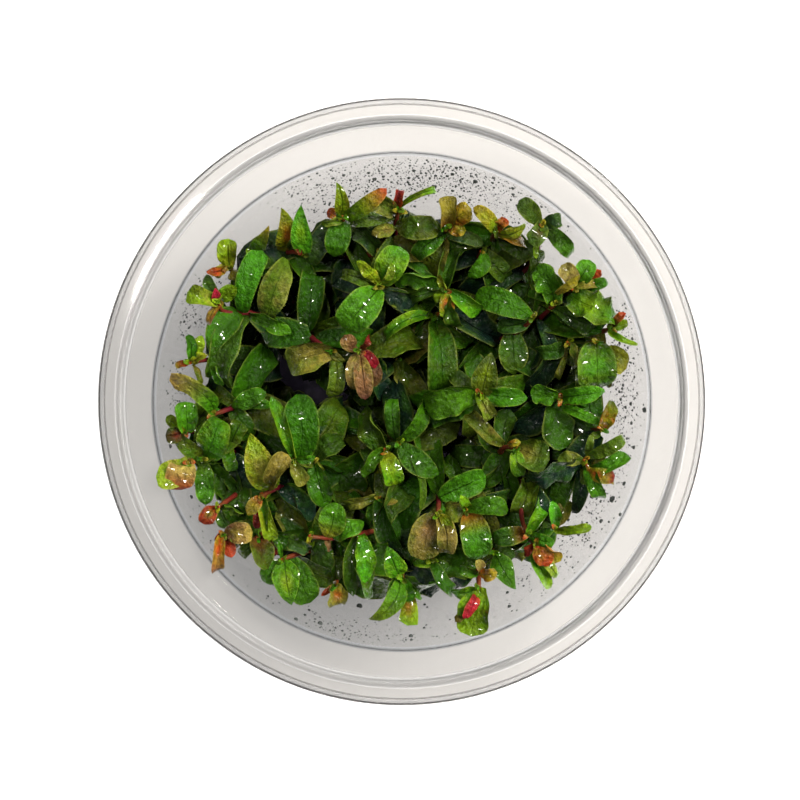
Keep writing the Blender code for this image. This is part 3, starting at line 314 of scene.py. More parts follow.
def culture_gel():
    """Set jelly with a wet, slightly uneven top, its tint painted shade in the middle and painted light at
    its skin.
    """
    material, nodes, links, shader = new_material("culture_gel")
    shader.inputs["Roughness"].default_value = 0.08
    shader.inputs["Transmission Weight"].default_value = 0.5
    shader.inputs["IOR"].default_value = 1.34
    place = nodes.new("ShaderNodeTexCoord")
    cloud = nodes.new("ShaderNodeTexNoise")
    cloud.inputs["Scale"].default_value = 90.0
    cloud.inputs["Detail"].default_value = 4.0
    links.new(place.outputs["Object"], cloud.inputs["Vector"])
    shaded = mixed_tints(material, cloud.outputs["Fac"], GEL_DEEP_PAINTED_SHADE_TINT, GEL_PAINTED_SHADE_TINT)
    flat = nodes.new("ShaderNodeVectorMath")
    flat.operation = "MULTIPLY"
    flat.inputs[1].default_value = (1.0, 1.0, 0.0)
    links.new(place.outputs["Object"], flat.inputs[0])
    radius = nodes.new("ShaderNodeVectorMath")
    radius.operation = "LENGTH"
    links.new(flat.outputs["Vector"], radius.inputs[0])
    skin = nodes.new("ShaderNodeMapRange")
    skin.inputs["From Min"].default_value = GEL_SKIN[0] * MM
    skin.inputs["From Max"].default_value = GEL_SKIN[1] * MM
    links.new(radius.outputs["Value"], skin.inputs["Value"])
    tint = mixed_tints(material, skin.outputs["Result"], shaded, GEL_SKIN_PAINTED_LIGHT_TINT)
    links.new(tint, shader.inputs["Base Color"])
    raise_surface(material, cloud.outputs["Fac"], 0.25, 0.0006)
    return material


profile = gel_profile()
gel = new_piece("gel_disc", turned(profile, GEL_SEGMENTS), closed_faces(len(profile) - 2, GEL_SEGMENTS),
                [culture_gel()])
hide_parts("nutrient_gel")


# Rotala shoots
# Each is one grown shoot: a thin stem rooted in the gel, pairs of soft oval leaves up to its crown, fresh
# green in the light, tan to crimson where young or old, and darker further down with painted shade.
# The plan is read as an eye at this height above the lip sees it from straight above.
EYE_ABOVE_LIP = 260.0
STEM_RADIUS = 0.42
LEAF_THICKNESS = 0.34
LEAF_ARCH = 0.12
STALK_WIDTH = 0.6
STEM_SIDES = 8
STEM_STEP = 0.9
# The stem's radius at the crown, and what it gains down to GIRTH_REACH below it.
CROWN_GIRTH = 0.3
GIRTH_GAIN = 0.14
GIRTH_REACH = 4.0
# How much a joint swells, as a share of the radius, and how far up and down the stem.
JOINT_SWELL = 0.3
JOINT_REACH = 0.45
# How many places along a stem a leaf can spring from: the seen and the young leaves, then the lower pairs.
SPRING_PLACES = 120
LOWER_PLACES = 80
# How many rings a leaf has along it and how many points round each: the seen leaves, then the small ones.
FULL_LEAF = (14, 14)
SMALL_LEAF = (6, 8)
# Half the blade's thickness at its foot, past its stalk and at its tip.
BLADE_THICKNESS = (0.24, 0.09, 0.04)
# In how many steps the line across half a blade is added up.
HALF_STEPS = 12
# Length in millimetres and lean in radians of the young pairs at the growing tip, the outer pair first.
YOUNG_PAIRS = ((1.7, 0.7), (1.2, 0.4))
# Least and greatest length of the shaded leaves, and of the space between their pairs. They stay clear of
# the wall, within LOW_REACH of the middle, and under the seen leaves at LOW_CEILING.
LOWER_LENGTH = (6.8, 11.2)
LOWER_SPACE = (2.0, 3.0)
WALL_CLEARANCE = 0.8
LOW_REACH = 33.0
LOW_CEILING = 35.5
# Painted shade by height: every leaf's tone is darker further down the cup, its brightness at four heights.
PAINTED_SHADE_HEIGHTS = (26.0, 36.0, 41.0, 45.0)
PAINTED_SHADE = (0.58, 0.72, 0.95, 1.15)
# The solids settled from the plan to stay clear of each other: a crown dropped by one of these lengths, a
# leaf's base rose or sank by one of these and its blade narrowed to one of these shares of its width.
CROWN_DROPS = (0.0, 0.8, 1.6, 2.4)
BASE_MOVES = np.arange(-6.3, 0.8, 0.7)
BLADE_SHARES = (1.0, 0.75, 0.5)
# A solid's leaf is known by the corners of one of its rings: its share of the way to the tip and its share
# of the full width, on a leaf longer than SHORT_LEAF and on a shorter one.
SHORT_LEAF = 3.2
LONG_LEAF_RING = (0.78, 0.78)
SHORT_LEAF_RING = (0.55, 0.95)
# How far from its true place a corner of a solid may be found.
CORNER_SLACK = 0.004
TIP_SLACK = 0.02

# Leaf tones by the way they look in the cup.
TONES = {
    "bright": (0.034, 0.122, 0.003),
    "green": (0.023, 0.080, 0.002),
    "dark": (0.027, 0.066, 0.005),
    "teal": (0.006, 0.020, 0.012),
    "lime": (0.104, 0.180, 0.004),
    "olive": (0.045, 0.074, 0.004),
    "khaki": (0.150, 0.130, 0.020),
    "amber": (0.145, 0.130, 0.007),
    "rust": (0.230, 0.029, 0.006),
    "wine": (0.095, 0.007, 0.006),
    "crimson": (0.190, 0.007, 0.016),
    "rose": (0.105, 0.040, 0.026),
    "brown": (0.040, 0.024, 0.004),
    "tan": (0.150, 0.082, 0.025),
    "peach": (0.310, 0.200, 0.045),
}

# The planting plan. Every shoot: its stem from the crown downwards, then its leaves.
# A stem point is (x, y, height). A leaf is (base x, y, height, tip x, y, height, width, tone), and the words
# for its form where that isn't left to chance. A second tone follows > at the tip, < at the base and * in
# the middle.
SHOOTS = (
    (((-28.5, 22.0, 43.0),), (
        (-28.4, 22.2, 42.6, -28.6, 26.9, 45.0, 3.4, "lime", "round"),
        (-29.3, 22.2, 42.8, -32.3, 21.4, 45.0, 1.7, "rust"),
        (-28.9, 21.9, 42.2, -30.5, 20.3, 43.6, 2.0, "amber"),
        (-28.1, 21.6, 42.2, -27.5, 19.9, 43.4, 2.0, "amber"),
    )),
    (((-24.8, 24.2, 40.5),), (
        (-24.8, 24.5, 40.0, -21.9, 29.1, 43.0, 2.5, "bright>amber", "drop flat"),
        (-24.6, 24.0, 38.0, -21.6, 22.4, 38.0, 3.0, "dark"),
    )),
    (((-16.2, 24.3, 41.0), (-19.0, 24.9, 40.0)), (
        (-19.3, 25.2, 40.5, -19.9, 32.0, 44.0, 4.0, "lime*rust", "drop flat"),
        (-18.4, 25.2, 40.0, -17.3, 27.2, 42.0, 1.3, "dark"),
        (-16.1, 24.6, 40.5, -16.6, 32.5, 43.0, 3.4, "bright*lime", "drop flat"),
        (-16.6, 24.2, 41.0, -17.4, 25.4, 42.3, 1.0, "wine"),
    )),
    (((-9.8, 30.2, 43.0),), (
        (-10.2, 30.8, 42.6, -10.8, 36.2, 45.2, 2.4, "lime", "pointed flat"),
        (-9.4, 30.2, 43.0, -12.4, 31.2, 44.6, 1.8, "rust", "round flat"),
        (-9.2, 30.5, 42.6, -2.5, 35.2, 44.8, 2.6, "lime>rust", "flat"),
        (-10.2, 29.9, 42.0, -13.3, 29.2, 43.4, 1.5, "olive"),
        (-9.6, 29.8, 41.6, -11.2, 23.8, 41.0, 4.0, "green", "flat"),
        (-10.6, 29.4, 40.4, -14.8, 22.5, 39.0, 4.0, "dark"),
    )),
    (((-0.6, 31.6, 43.4), (-0.9, 30.0, 41.0), (-1.2, 26.0, 36.0)), (
        (-0.5, 32.0, 43.6, -0.2, 34.8, 46.0, 1.4, "wine"),
        (-1.0, 31.5, 43.0, -5.2, 33.2, 44.4, 3.2, "olive<brown", "square"),
        (-1.2, 28.4, 41.0, -5.0, 27.5, 42.0, 2.2, "khaki"),
        (-1.3, 30.3, 41.6, -8.0, 29.3, 42.4, 1.9, "olive"),
        (-0.2, 32.2, 43.2, 5.6, 34.8, 45.2, 1.7, "lime>dark", "rolled"),
        (-0.4, 31.2, 43.6, 0.9, 31.2, 44.6, 0.9, "amber"),
        (-0.6, 29.2, 41.4, 6.0, 29.2, 42.0, 3.8, "green<olive", "round flat"),
    )),
    (((-4.0, 24.2, 38.0), (-9.3, 23.9, 34.0)), (
        (-4.0, 24.4, 37.6, -8.1, 28.3, 39.0, 4.0, "dark", "folded"),
        (-4.2, 23.8, 37.2, -4.6, 19.5, 37.0, 3.0, "dark"),
    )),
    (((-3.8, 19.0, 43.0),), (
        (-3.9, 19.6, 43.0, -7.5, 23.2, 45.0, 1.8, "lime"),
        (-3.4, 19.8, 43.0, -1.7, 23.0, 45.0, 1.4, "lime"),
        (-3.5, 19.8, 42.2, -0.2, 25.5, 43.0, 4.8, "bright", "flat"),
        (-4.0, 18.4, 43.2, -9.6, 12.0, 43.8, 5.6, "bright", "round flat"),
        (-4.6, 18.9, 42.0, -9.8, 20.8, 42.6, 2.4, "olive"),
        (-3.2, 18.0, 41.0, 1.5, 15.0, 40.0, 3.4, "teal"),
    )),
    (((7.3, 28.5, 42.6),), (
        (7.1, 28.8, 42.2, 7.2, 33.9, 44.6, 3.6, "amber<rust", "square cupped"),
        (7.8, 28.8, 42.2, 11.5, 31.8, 44.0, 3.0, "amber", "square"),
        (7.9, 28.2, 42.4, 10.6, 28.2, 43.4, 1.8, "amber"),
        (7.8, 27.4, 41.0, 13.5, 26.0, 40.6, 2.4, "dark"),
        (7.0, 27.6, 40.4, 2.5, 23.5, 39.2, 3.5, "green"),
    )),
    (((15.5, 27.9, 42.6),), (
        (15.2, 28.0, 42.6, 11.8, 32.0, 44.6, 2.4, "lime>amber", "flat"),
        (15.7, 28.4, 42.6, 17.3, 30.2, 44.2, 2.0, "rust", "cupped round"),
        (15.9, 27.8, 42.4, 20.5, 29.3, 44.2, 2.0, "amber*lime"),
        (16.1, 27.4, 42.0, 20.2, 26.0, 42.6, 2.2, "amber"),
        (15.9, 27.0, 40.6, 20.6, 23.4, 39.6, 2.8, "dark"),
    )),
    (((13.2, 24.6, 39.4),), (
        (13.4, 25.0, 39.0, 10.9, 20.6, 40.2, 3.0, "bright", "bowed_left"),
        (13.7, 24.4, 38.2, 17.5, 20.5, 37.4, 3.6, "dark"),
        (13.1, 24.1, 37.8, 14.4, 19.3, 38.4, 2.4, "green"),
    )),
    (((23.0, 28.9, 44.4), (22.6, 25.6, 40.5), (20.6, 22.0, 36.0), (19.0, 20.0, 32.0)), (
        (22.6, 29.4, 43.8, 19.3, 33.2, 45.8, 3.0, "dark", "round flat"),
        (23.2, 29.4, 44.6, 21.0, 26.2, 45.4, 2.8, "dark*brown", "square flat"),
        (23.2, 29.4, 44.2, 26.3, 30.2, 45.2, 2.4, "dark"),
        (23.6, 28.9, 43.6, 27.9, 24.3, 45.0, 2.6, "dark>bright", "wavy"),
        (22.5, 26.0, 42.0, 22.3, 23.5, 42.6, 1.0, "lime"),
    )),
    (((28.2, 18.6, 44.0),), (
        (28.4, 19.2, 43.6, 26.3, 22.5, 45.2, 3.0, "khaki", "round"),
        (25.5, 17.8, 44.0, 29.0, 20.2, 45.4, 2.0, "amber"),
        (28.8, 19.6, 43.0, 31.0, 23.4, 44.6, 3.2, "bright", "round flat"),
        (28.9, 18.9, 43.8, 31.8, 19.4, 45.2, 1.8, "khaki"),
        (30.0, 19.6, 43.2, 32.9, 21.7, 45.0, 1.9, "rust", "cupped round"),
        (29.6, 18.2, 42.8, 33.9, 19.8, 44.0, 2.0, "green"),
        (27.8, 17.6, 42.8, 35.4, 14.5, 44.0, 5.2, "green*lime", "ragged"),
    )),
    (((25.4, 16.2, 42.0), (22.4, 13.3, 38.0)), (
        (25.0, 16.5, 41.6, 22.0, 21.8, 42.6, 4.0, "green"),
        (25.4, 15.2, 41.0, 32.0, 12.2, 41.4, 3.4, "dark"),
        (22.6, 13.0, 39.0, 24.5, 8.5, 38.4, 3.0, "teal"),
    )),
    (((34.4, 12.0, 44.0),), (
        (34.9, 12.6, 44.0, 37.0, 14.6, 45.8, 1.6, "brown>rust"),
        (34.4, 11.7, 44.0, 39.0, 9.5, 46.0, 1.7, "lime", "bowed_right folded"),
        (34.4, 12.2, 43.6, 37.2, 13.4, 45.2, 1.6, "lime"),
    )),
    (((32.2, 10.0, 43.0),), (
        (32.0, 9.6, 42.6, 32.0, 2.2, 42.8, 6.2, "olive*bright", "round flat lifted"),
        (32.9, 8.0, 42.4, 37.1, 5.4, 43.4, 4.4, "amber", "round"),
        (33.4, 6.4, 41.0, 34.2, 2.2, 41.4, 2.0, "khaki"),
    )),
    (((27.4, 9.6, 41.0),), (
        (28.0, 9.2, 41.0, 28.0, 5.0, 41.6, 1.8, "olive"),
        (27.0, 7.4, 40.4, 25.6, 3.8, 41.6, 1.4, "olive"),
        (27.0, 9.4, 39.0, 22.2, 8.6, 38.4, 2.8, "dark"),
    )),
    (((26.0, 0.3, 42.0),), (
        (25.8, 0.5, 41.6, 21.2, 1.5, 42.2, 3.5, "bright", "round"),
        (26.4, 0.6, 41.6, 33.6, 1.6, 43.2, 3.2, "bright"),
        (26.3, -0.2, 42.0, 28.7, -0.4, 42.8, 0.9, "wine"),
        (26.4, -0.6, 41.2, 32.9, -3.6, 42.2, 1.8, "bright"),
        (25.7, -0.4, 40.4, 27.2, -7.6, 40.2, 5.0, "green"),
    )),
    (((33.0, -4.7, 42.6),), (
        (33.3, -4.5, 42.6, 35.0, 0.0, 44.8, 3.0, "rust>olive", "round"),
        (32.8, -4.9, 42.0, 30.9, -5.8, 43.0, 1.2, "olive"),
        (32.7, -4.4, 41.0, 29.8, -2.4, 41.0, 1.8, "dark"),
    )),
    (((30.2, -9.8, 43.2),), (
        (30.8, -9.0, 43.2, 36.6, -5.9, 45.4, 2.4, "olive"),
        (31.4, -10.8, 43.2, 36.9, -8.4, 44.8, 3.0, "bright", "square"),
        (30.6, -10.0, 43.4, 34.0, -10.3, 44.2, 3.6, "khaki<rust"),
        (31.0, -11.4, 43.2, 35.2, -12.3, 44.4, 2.4, "rust>wine", "round flat"),
        (30.8, -11.2, 42.6, 35.0, -13.8, 43.6, 1.9, "amber"),
        (30.6, -11.0, 42.2, 32.8, -15.9, 42.8, 2.6, "green"),
        (30.6, -8.8, 43.0, 31.3, -5.6, 44.2, 1.3, "olive"),
        (29.8, -9.6, 42.6, 25.7, -9.5, 42.4, 2.8, "olive"),
        (29.6, -10.2, 42.0, 21.0, -13.0, 41.2, 4.2, "teal"),
        (29.9, -10.6, 41.6, 29.8, -13.8, 41.2, 1.6, "olive"),
        (29.4, -10.8, 39.0, 28.1, -18.3, 38.0, 2.6, "teal"),
    )),
    (((18.9, -7.7, 42.2), (16.7, -7.2, 41.0), (16.3, -8.6, 38.0)), (
        (19.4, -7.6, 42.4, 24.4, -9.6, 43.2, 5.6, "olive*khaki", "round"),
        (17.6, -7.1, 42.2, 19.6, -6.6, 43.2, 1.3, "amber"),
        (18.7, -8.4, 41.8, 19.6, -12.4, 41.8, 2.6, "bright"),
        (16.4, -6.9, 41.4, 11.3, -2.0, 42.2, 2.8, "olive"),
        (16.4, -8.8, 38.0, 13.2, -13.8, 38.0, 4.4, "dark"),
        (16.8, -6.6, 38.6, 18.0, -1.4, 37.6, 4.2, "dark"),
    )),
    (((7.2, 18.3, 42.2),), (
        (7.1, 17.8, 42.0, 7.2, 13.6, 42.6, 2.4, "rust>lime", "round flat"),
        (6.9, 18.0, 42.0, 5.5, 16.4, 43.2, 1.5, "lime"),
        (7.1, 18.7, 42.0, 6.0, 20.6, 43.6, 1.3, "amber"),
        (7.8, 17.4, 41.6, 9.4, 12.5, 41.6, 2.2, "green"),
        (7.7, 18.2, 41.6, 12.8, 14.5, 42.2, 3.4, "bright"),
        (6.9, 18.9, 41.2, -0.5, 19.6, 41.8, 2.8, "green"),
        (6.5, 18.6, 40.2, 0.8, 17.0, 39.4, 3.0, "dark"),
    )),
    (((21.5, 13.8, 42.0), (20.4, 12.2, 40.0), (16.6, 10.3, 36.5)), (
        (21.2, 14.0, 41.6, 12.0, 17.3, 42.6, 4.2, "bright", "flat"),
        (18.2, 11.2, 38.2, 18.5, 4.4, 38.4, 4.8, "dark>olive", "flat"),
        (20.8, 13.4, 39.8, 15.6, 12.6, 38.8, 3.0, "dark"),
    )),
    (((5.6, 13.8, 39.0),), (
        (5.2, 14.0, 38.6, -2.6, 10.2, 39.6, 2.4, "bright", "curled bowed_right"),
        (5.3, 12.4, 38.2, 6.2, 2.0, 38.8, 5.2, "green"),
        (6.1, 13.6, 38.2, 11.2, 9.4, 38.2, 3.2, "green"),
        (5.2, 13.2, 36.0, 0.6, 8.6, 35.6, 3.4, "dark"),
    )),
    (((-0.8, 7.2, 36.0),), (
        (-0.7, 6.8, 35.8, 4.0, 0.5, 36.0, 4.0, "olive"),
        (-1.0, 7.4, 35.2, -3.2, 9.6, 35.6, 1.8, "dark"),
    )),
    (((12.9, 1.3, 43.6),), (
        (13.2, 1.6, 43.2, 14.8, 8.2, 44.6, 4.2, "olive*lime", "drop flat"),
        (12.5, 1.1, 43.2, 14.6, -3.0, 43.8, 2.8, "lime*khaki"),
        (13.2, 1.6, 42.6, 20.8, 0.6, 42.8, 3.4, "bright"),
        (12.2, 0.9, 42.6, 3.9, -1.2, 42.8, 5.2, "bright", "round"),
        (12.3, 1.7, 41.0, 8.6, 4.6, 40.2, 2.6, "dark"),
    )),
    (((-30.2, 16.4, 43.8), (-30.0, 14.4, 42.0), (-26.4, 14.8, 40.8), (-21.4, 14.0, 38.0)), (
        (-30.4, 16.7, 43.2, -35.4, 18.0, 45.4, 3.2, "lime", "square"),
        (-30.4, 16.8, 44.2, -30.8, 18.8, 45.8, 1.7, "crimson"),
        (-29.8, 16.6, 43.8, -27.2, 18.8, 44.8, 2.6, "lime"),
        (-30.3, 15.9, 43.2, -32.0, 12.8, 44.4, 1.8, "amber"),
        (-30.2, 16.8, 42.4, -32.2, 21.0, 43.4, 2.2, "dark"),
        (-26.2, 15.3, 42.0, -23.0, 24.9, 43.6, 3.7, "bright", "square flat"),
        (-26.8, 14.6, 41.2, -31.0, 7.3, 42.2, 4.8, "bright>green", "pointed flat"),
        (-25.6, 14.0, 40.2, -29.0, 3.0, 40.2, 4.8, "dark"),
        (-24.6, 14.2, 41.2, -18.2, 11.2, 42.2, 2.6, "bright"),
        (-22.2, 14.3, 39.6, -18.7, 23.3, 41.2, 4.6, "olive"),
        (-20.8, 14.2, 36.6, -13.2, 19.0, 36.4, 4.0, "green"),
        (-21.5, 13.0, 33.0, -21.8, 5.0, 32.0, 2.6, "teal"),
    )),
    (((-34.8, 6.5, 44.2), (-31.3, 7.0, 41.0)), (
        (-35.0, 6.9, 44.2, -35.2, 11.1, 45.8, 1.8, "green"),
        (-35.1, 6.3, 44.2, -37.4, 5.8, 45.4, 1.6, "rust>amber"),
        (-34.5, 6.4, 44.2, -32.3, 7.8, 45.2, 1.7, "amber"),
        (-34.3, 7.0, 43.6, -33.0, 10.9, 44.8, 2.1, "lime"),
        (-34.5, 5.9, 43.6, -33.5, 2.2, 43.8, 1.3, "olive"),
        (-31.0, 6.6, 41.0, -29.5, 2.6, 41.8, 2.2, "bright", "rolled"),
    )),
    (((-31.2, -2.2, 42.8), (-27.5, -0.9, 39.6)), (
        (-31.2, -1.7, 42.6, -38.4, 3.5, 45.2, 3.2, "bright>peach", "square"),
        (-27.2, -0.5, 40.4, -22.4, 1.6, 41.6, 2.9, "bright"),
        (-27.0, -1.0, 39.6, -21.8, -0.9, 40.2, 2.2, "green"),
        (-27.7, -1.5, 39.2, -25.4, -6.3, 39.2, 3.4, "green"),
    )),
    (((-35.7, -5.0, 44.2),), (
        (-35.5, -4.6, 44.2, -35.8, 0.0, 45.8, 3.8, "bright"),
        (-36.2, -4.9, 44.2, -38.8, -2.4, 46.0, 1.8, "lime", "round flat"),
        (-36.2, -5.2, 44.6, -39.0, -5.6, 45.8, 2.6, "brown*wine", "round flat"),
    )),
    (((-32.8, -9.6, 43.0), (-30.0, -8.8, 40.8), (-28.2, -8.3, 39.0)), (
        (-32.4, -9.2, 42.6, -30.2, -2.7, 43.8, 5.2, "bright>green"),
        (-33.3, -9.4, 42.6, -37.0, -6.0, 44.0, 2.8, "olive"),
        (-32.8, -10.0, 42.2, -32.4, -17.1, 42.4, 3.2, "green<olive", "flat wavy"),
        (-28.4, -7.8, 39.6, -26.3, -3.4, 39.8, 2.8, "green"),
        (-28.3, -8.0, 40.2, -27.3, -11.4, 40.4, 2.2, "bright"),
        (-28.9, -9.0, 38.0, -22.5, -14.4, 37.4, 4.2, "teal"),
        (-29.4, -9.2, 38.2, -29.8, -16.2, 38.4, 2.6, "dark"),
    )),
    (((-35.0, -9.8, 45.0),), (
        (-35.3, -9.8, 45.4, -40.6, -12.4, 47.4, 4.4, "lime", "round flat sunken"),
        (-35.0, -10.0, 45.0, -36.4, -14.6, 46.4, 4.6, "peach>rust", "round flat lifted"),
    )),
    (((-30.3, -17.4, 43.2), (-27.4, -15.4, 39.6)), (
        (-30.8, -17.6, 43.4, -32.6, -20.3, 45.2, 2.6, "rust*olive", "round flat"),
        (-30.0, -17.8, 42.6, -28.6, -21.0, 42.6, 2.2, "dark"),
        (-29.6, -17.4, 42.2, -26.6, -18.6, 42.6, 2.0, "olive"),
    )),
    (((-23.2, -15.8, 42.2), (-21.7, -14.5, 40.4), (-19.4, -14.0, 38.0)), (
        (-21.8, -14.0, 42.4, -25.0, -5.2, 44.2, 5.2, "lime*khaki", "pointed flat"),
        (-21.0, -13.8, 42.2, -18.6, -8.8, 43.2, 4.0, "khaki"),
        (-23.4, -16.0, 42.4, -25.4, -18.8, 43.4, 2.2, "amber<rust"),
        (-22.9, -16.0, 42.2, -22.5, -21.0, 43.0, 1.7, "bright"),
        (-22.7, -16.4, 41.4, -21.5, -23.2, 42.2, 2.8, "lime"),
        (-23.4, -16.4, 41.4, -24.2, -21.0, 41.6, 2.0, "wine"),
        (-20.4, -14.6, 38.6, -14.2, -18.8, 38.0, 5.2, "teal"),
        (-19.4, -14.0, 39.2, -16.2, -16.2, 39.6, 2.0, "green"),
    )),
    (((-17.8, -9.7, 42.6),), (
        (-17.7, -9.2, 42.2, -21.6, 0.8, 43.2, 3.2, "bright"),
        (-17.0, -9.3, 42.2, -17.4, 1.2, 42.8, 5.6, "green", "flat"),
        (-17.3, -9.5, 42.6, -14.3, -9.0, 43.2, 1.5, "bright"),
        (-18.2, -9.9, 42.4, -19.8, -10.6, 43.2, 1.5, "bright"),
        (-17.8, -10.4, 42.0, -16.0, -13.8, 41.8, 2.8, "khaki"),
        (-17.2, -10.0, 42.4, -15.0, -10.5, 42.8, 1.4, "khaki"),
    )),
    (((-14.6, -10.0, 41.2),), (
        (-14.4, -10.4, 40.8, -12.5, -17.6, 40.4, 4.0, "green"),
        (-14.4, -10.1, 41.2, -13.4, -11.9, 42.0, 1.5, "khaki"),
        (-14.2, -9.4, 39.0, -9.8, -6.2, 38.6, 3.6, "dark", "round"),
        (-15.0, -10.4, 38.0, -17.6, -15.6, 37.6, 2.2, "green"),
    )),
    (((-15.0, -22.3, 42.8), (-12.4, -22.6, 42.2), (-7.0, -22.1, 40.4), (-3.6, -20.9, 37.0)), (
        (-12.3, -22.2, 42.6, -11.3, -16.6, 43.4, 4.4, "bright<amber", "flat"),
        (-11.4, -22.2, 42.2, -6.3, -19.8, 42.8, 3.0, "bright"),
        (-12.2, -22.9, 42.6, -11.9, -24.8, 43.2, 1.5, "tan", "pointed"),
        (-12.9, -23.0, 40.8, -12.5, -28.6, 39.6, 4.2, "dark"),
        (-6.6, -22.2, 41.8, -6.1, -30.0, 43.0, 3.2, "bright"),
        (-7.8, -22.6, 41.2, -8.0, -32.2, 43.0, 3.4, "green"),
        (-6.4, -22.8, 40.0, -4.8, -32.2, 41.0, 3.0, "dark*brown"),
    )),
    (((-19.5, -26.0, 42.8), (-17.6, -25.2, 41.2), (-15.2, -24.7, 39.6)), (
        (-19.4, -26.3, 43.0, -18.2, -33.6, 43.6, 4.4, "bright*lime", "pointed flat"),
        (-19.9, -26.3, 42.6, -23.0, -29.6, 43.2, 3.6, "bright", "flat"),
        (-18.6, -25.9, 42.2, -15.0, -33.2, 42.2, 5.0, "green", "round flat"),
        (-19.9, -25.8, 43.0, -20.4, -22.8, 44.0, 0.9, "bright"),
        (-15.4, -24.3, 41.0, -18.8, -22.6, 41.0, 2.8, "dark"),
        (-15.0, -24.5, 40.8, -14.4, -23.1, 42.0, 0.9, "lime"),
    )),
    (((-23.5, -22.2, 42.2),), (
        (-23.4, -22.5, 42.2, -22.0, -27.6, 42.8, 3.8, "brown<wine"),
        (-23.2, -22.1, 42.6, -21.0, -25.6, 43.2, 2.2, "wine"),
        (-23.8, -22.5, 41.6, -26.8, -25.2, 42.0, 2.3, "olive"),
    )),
    (((-29.4, -22.0, 44.2),), (
        (-29.9, -22.4, 44.4, -30.5, -27.8, 46.2, 2.8, "rust>tan", "folded"),
        (-29.5, -22.3, 44.0, -28.1, -25.8, 45.2, 2.3, "rust", "flat"),
        (-29.0, -21.9, 44.0, -27.0, -24.0, 44.8, 2.6, "olive"),
        (-28.8, -21.4, 44.2, -24.6, -21.6, 45.0, 3.4, "khaki", "round flat"),
        (-29.8, -21.7, 43.8, -30.9, -23.0, 45.2, 1.2, "rust"),
    )),
    (((-11.0, -30.2, 42.0),), (
        (-11.0, -30.5, 41.8, -11.2, -33.7, 43.6, 3.6, "amber*rust"),
        (-11.2, -30.6, 42.2, -13.3, -32.1, 43.6, 1.4, "rust"),
        (-10.8, -29.8, 39.6, -10.4, -25.6, 38.6, 2.2, "olive"),
    )),
    (((0.0, -29.2, 43.2),), (
        (-0.4, -28.8, 43.0, -2.4, -23.9, 44.4, 3.6, "bright", "pointed flat"),
        (-0.5, -29.5, 43.2, -5.6, -35.9, 44.8, 3.2, "green>lime", "pointed flat bowed_left"),
        (-0.3, -29.6, 42.4, -1.8, -33.7, 43.0, 3.0, "green"),
        (0.2, -29.6, 43.0, 1.2, -33.0, 43.6, 3.4, "green"),
        (0.3, -29.7, 42.0, 0.9, -37.0, 43.8, 3.0, "rust>lime", "flared"),
        (0.6, -29.5, 42.2, 3.4, -32.5, 42.6, 1.5, "green"),
        (0.2, -28.8, 43.2, 0.3, -26.4, 44.6, 0.9, "amber"),
        (0.7, -29.1, 41.2, 4.9, -30.3, 41.2, 2.2, "green"),
    )),
    (((5.9, -18.6, 42.4), (6.2, -16.0, 40.6)), (
        (5.6, -18.8, 42.2, 3.4, -26.2, 42.8, 5.4, "khaki*tan", "round flat"),
        (6.2, -18.9, 41.8, 7.0, -25.0, 42.2, 3.2, "olive*khaki"),
        (6.4, -18.9, 42.6, 8.2, -21.7, 43.6, 1.8, "lime"),
        (6.4, -15.7, 41.0, 13.9, -12.2, 41.8, 4.4, "bright", "round"),
        (6.3, -16.4, 40.8, 7.2, -18.8, 41.4, 0.9, "bright"),
    )),
    (((10.5, -17.9, 41.6),), (
        (10.2, -18.0, 41.2, 7.2, -18.8, 41.6, 3.6, "olive", "round"),
        (10.4, -17.6, 41.4, 9.6, -15.5, 42.4, 1.7, "lime"),
        (10.9, -17.8, 41.2, 17.6, -17.9, 41.8, 3.4, "green"),
        (11.0, -18.3, 41.6, 12.5, -26.1, 42.8, 4.8, "bright<rust", "round flat"),
        (10.7, -17.4, 39.2, 17.8, -15.2, 38.6, 3.0, "dark"),
    )),
    (((-2.7, -8.0, 40.6),), (
        (-3.1, -8.3, 40.4, -6.2, -12.6, 41.0, 3.2, "bright", "bowed_right folded"),
        (-2.6, -8.6, 40.4, -0.9, -13.7, 40.8, 3.6, "lime<amber", "round lifted"),
        (-2.8, -8.7, 39.4, -3.9, -16.0, 39.8, 3.6, "olive", "flat sunken"),
        (-2.9, -8.8, 41.0, -4.5, -11.9, 41.8, 1.8, "amber"),
        (-3.0, -7.7, 38.8, -5.9, -0.8, 38.4, 4.4, "olive*dark"),
    )),
    (((-0.5, -6.8, 41.0),), (
        (-0.5, -6.3, 41.0, 3.5, -0.8, 42.0, 2.6, "bright", "bowed_right curled"),
        (-0.2, -7.1, 40.6, 6.2, -12.0, 40.8, 4.0, "green", "flat"),
        (-0.5, -7.3, 39.6, 3.0, -18.2, 40.4, 1.5, "olive", "bowed_left"),
        (-0.8, -6.4, 39.2, -1.4, 0.4, 39.4, 2.6, "green"),
    )),
    (((-3.6, -16.0, 40.6),), (
        (-3.5, -16.3, 40.2, -0.6, -23.4, 40.4, 4.4, "green"),
        (-3.9, -16.3, 40.6, -4.7, -20.4, 41.2, 2.8, "bright"),
        (-3.3, -16.1, 39.8, 0.0, -17.2, 39.4, 2.0, "khaki"),
        (-4.0, -15.8, 38.8, -9.2, -17.0, 38.6, 2.6, "olive"),
    )),
    (((-11.6, 8.2, 42.0), (-15.8, 11.1, 38.0)), (
        (-11.9, 8.1, 42.0, -18.8, 6.0, 43.2, 5.2, "khaki>olive", "round"),
        (-11.5, 8.1, 42.2, -9.7, 6.4, 43.0, 1.5, "olive"),
        (-11.5, 7.6, 41.2, -12.0, 0.7, 41.2, 2.6, "olive", "round"),
    )),
    (((-7.0, 8.2, 42.6),), (
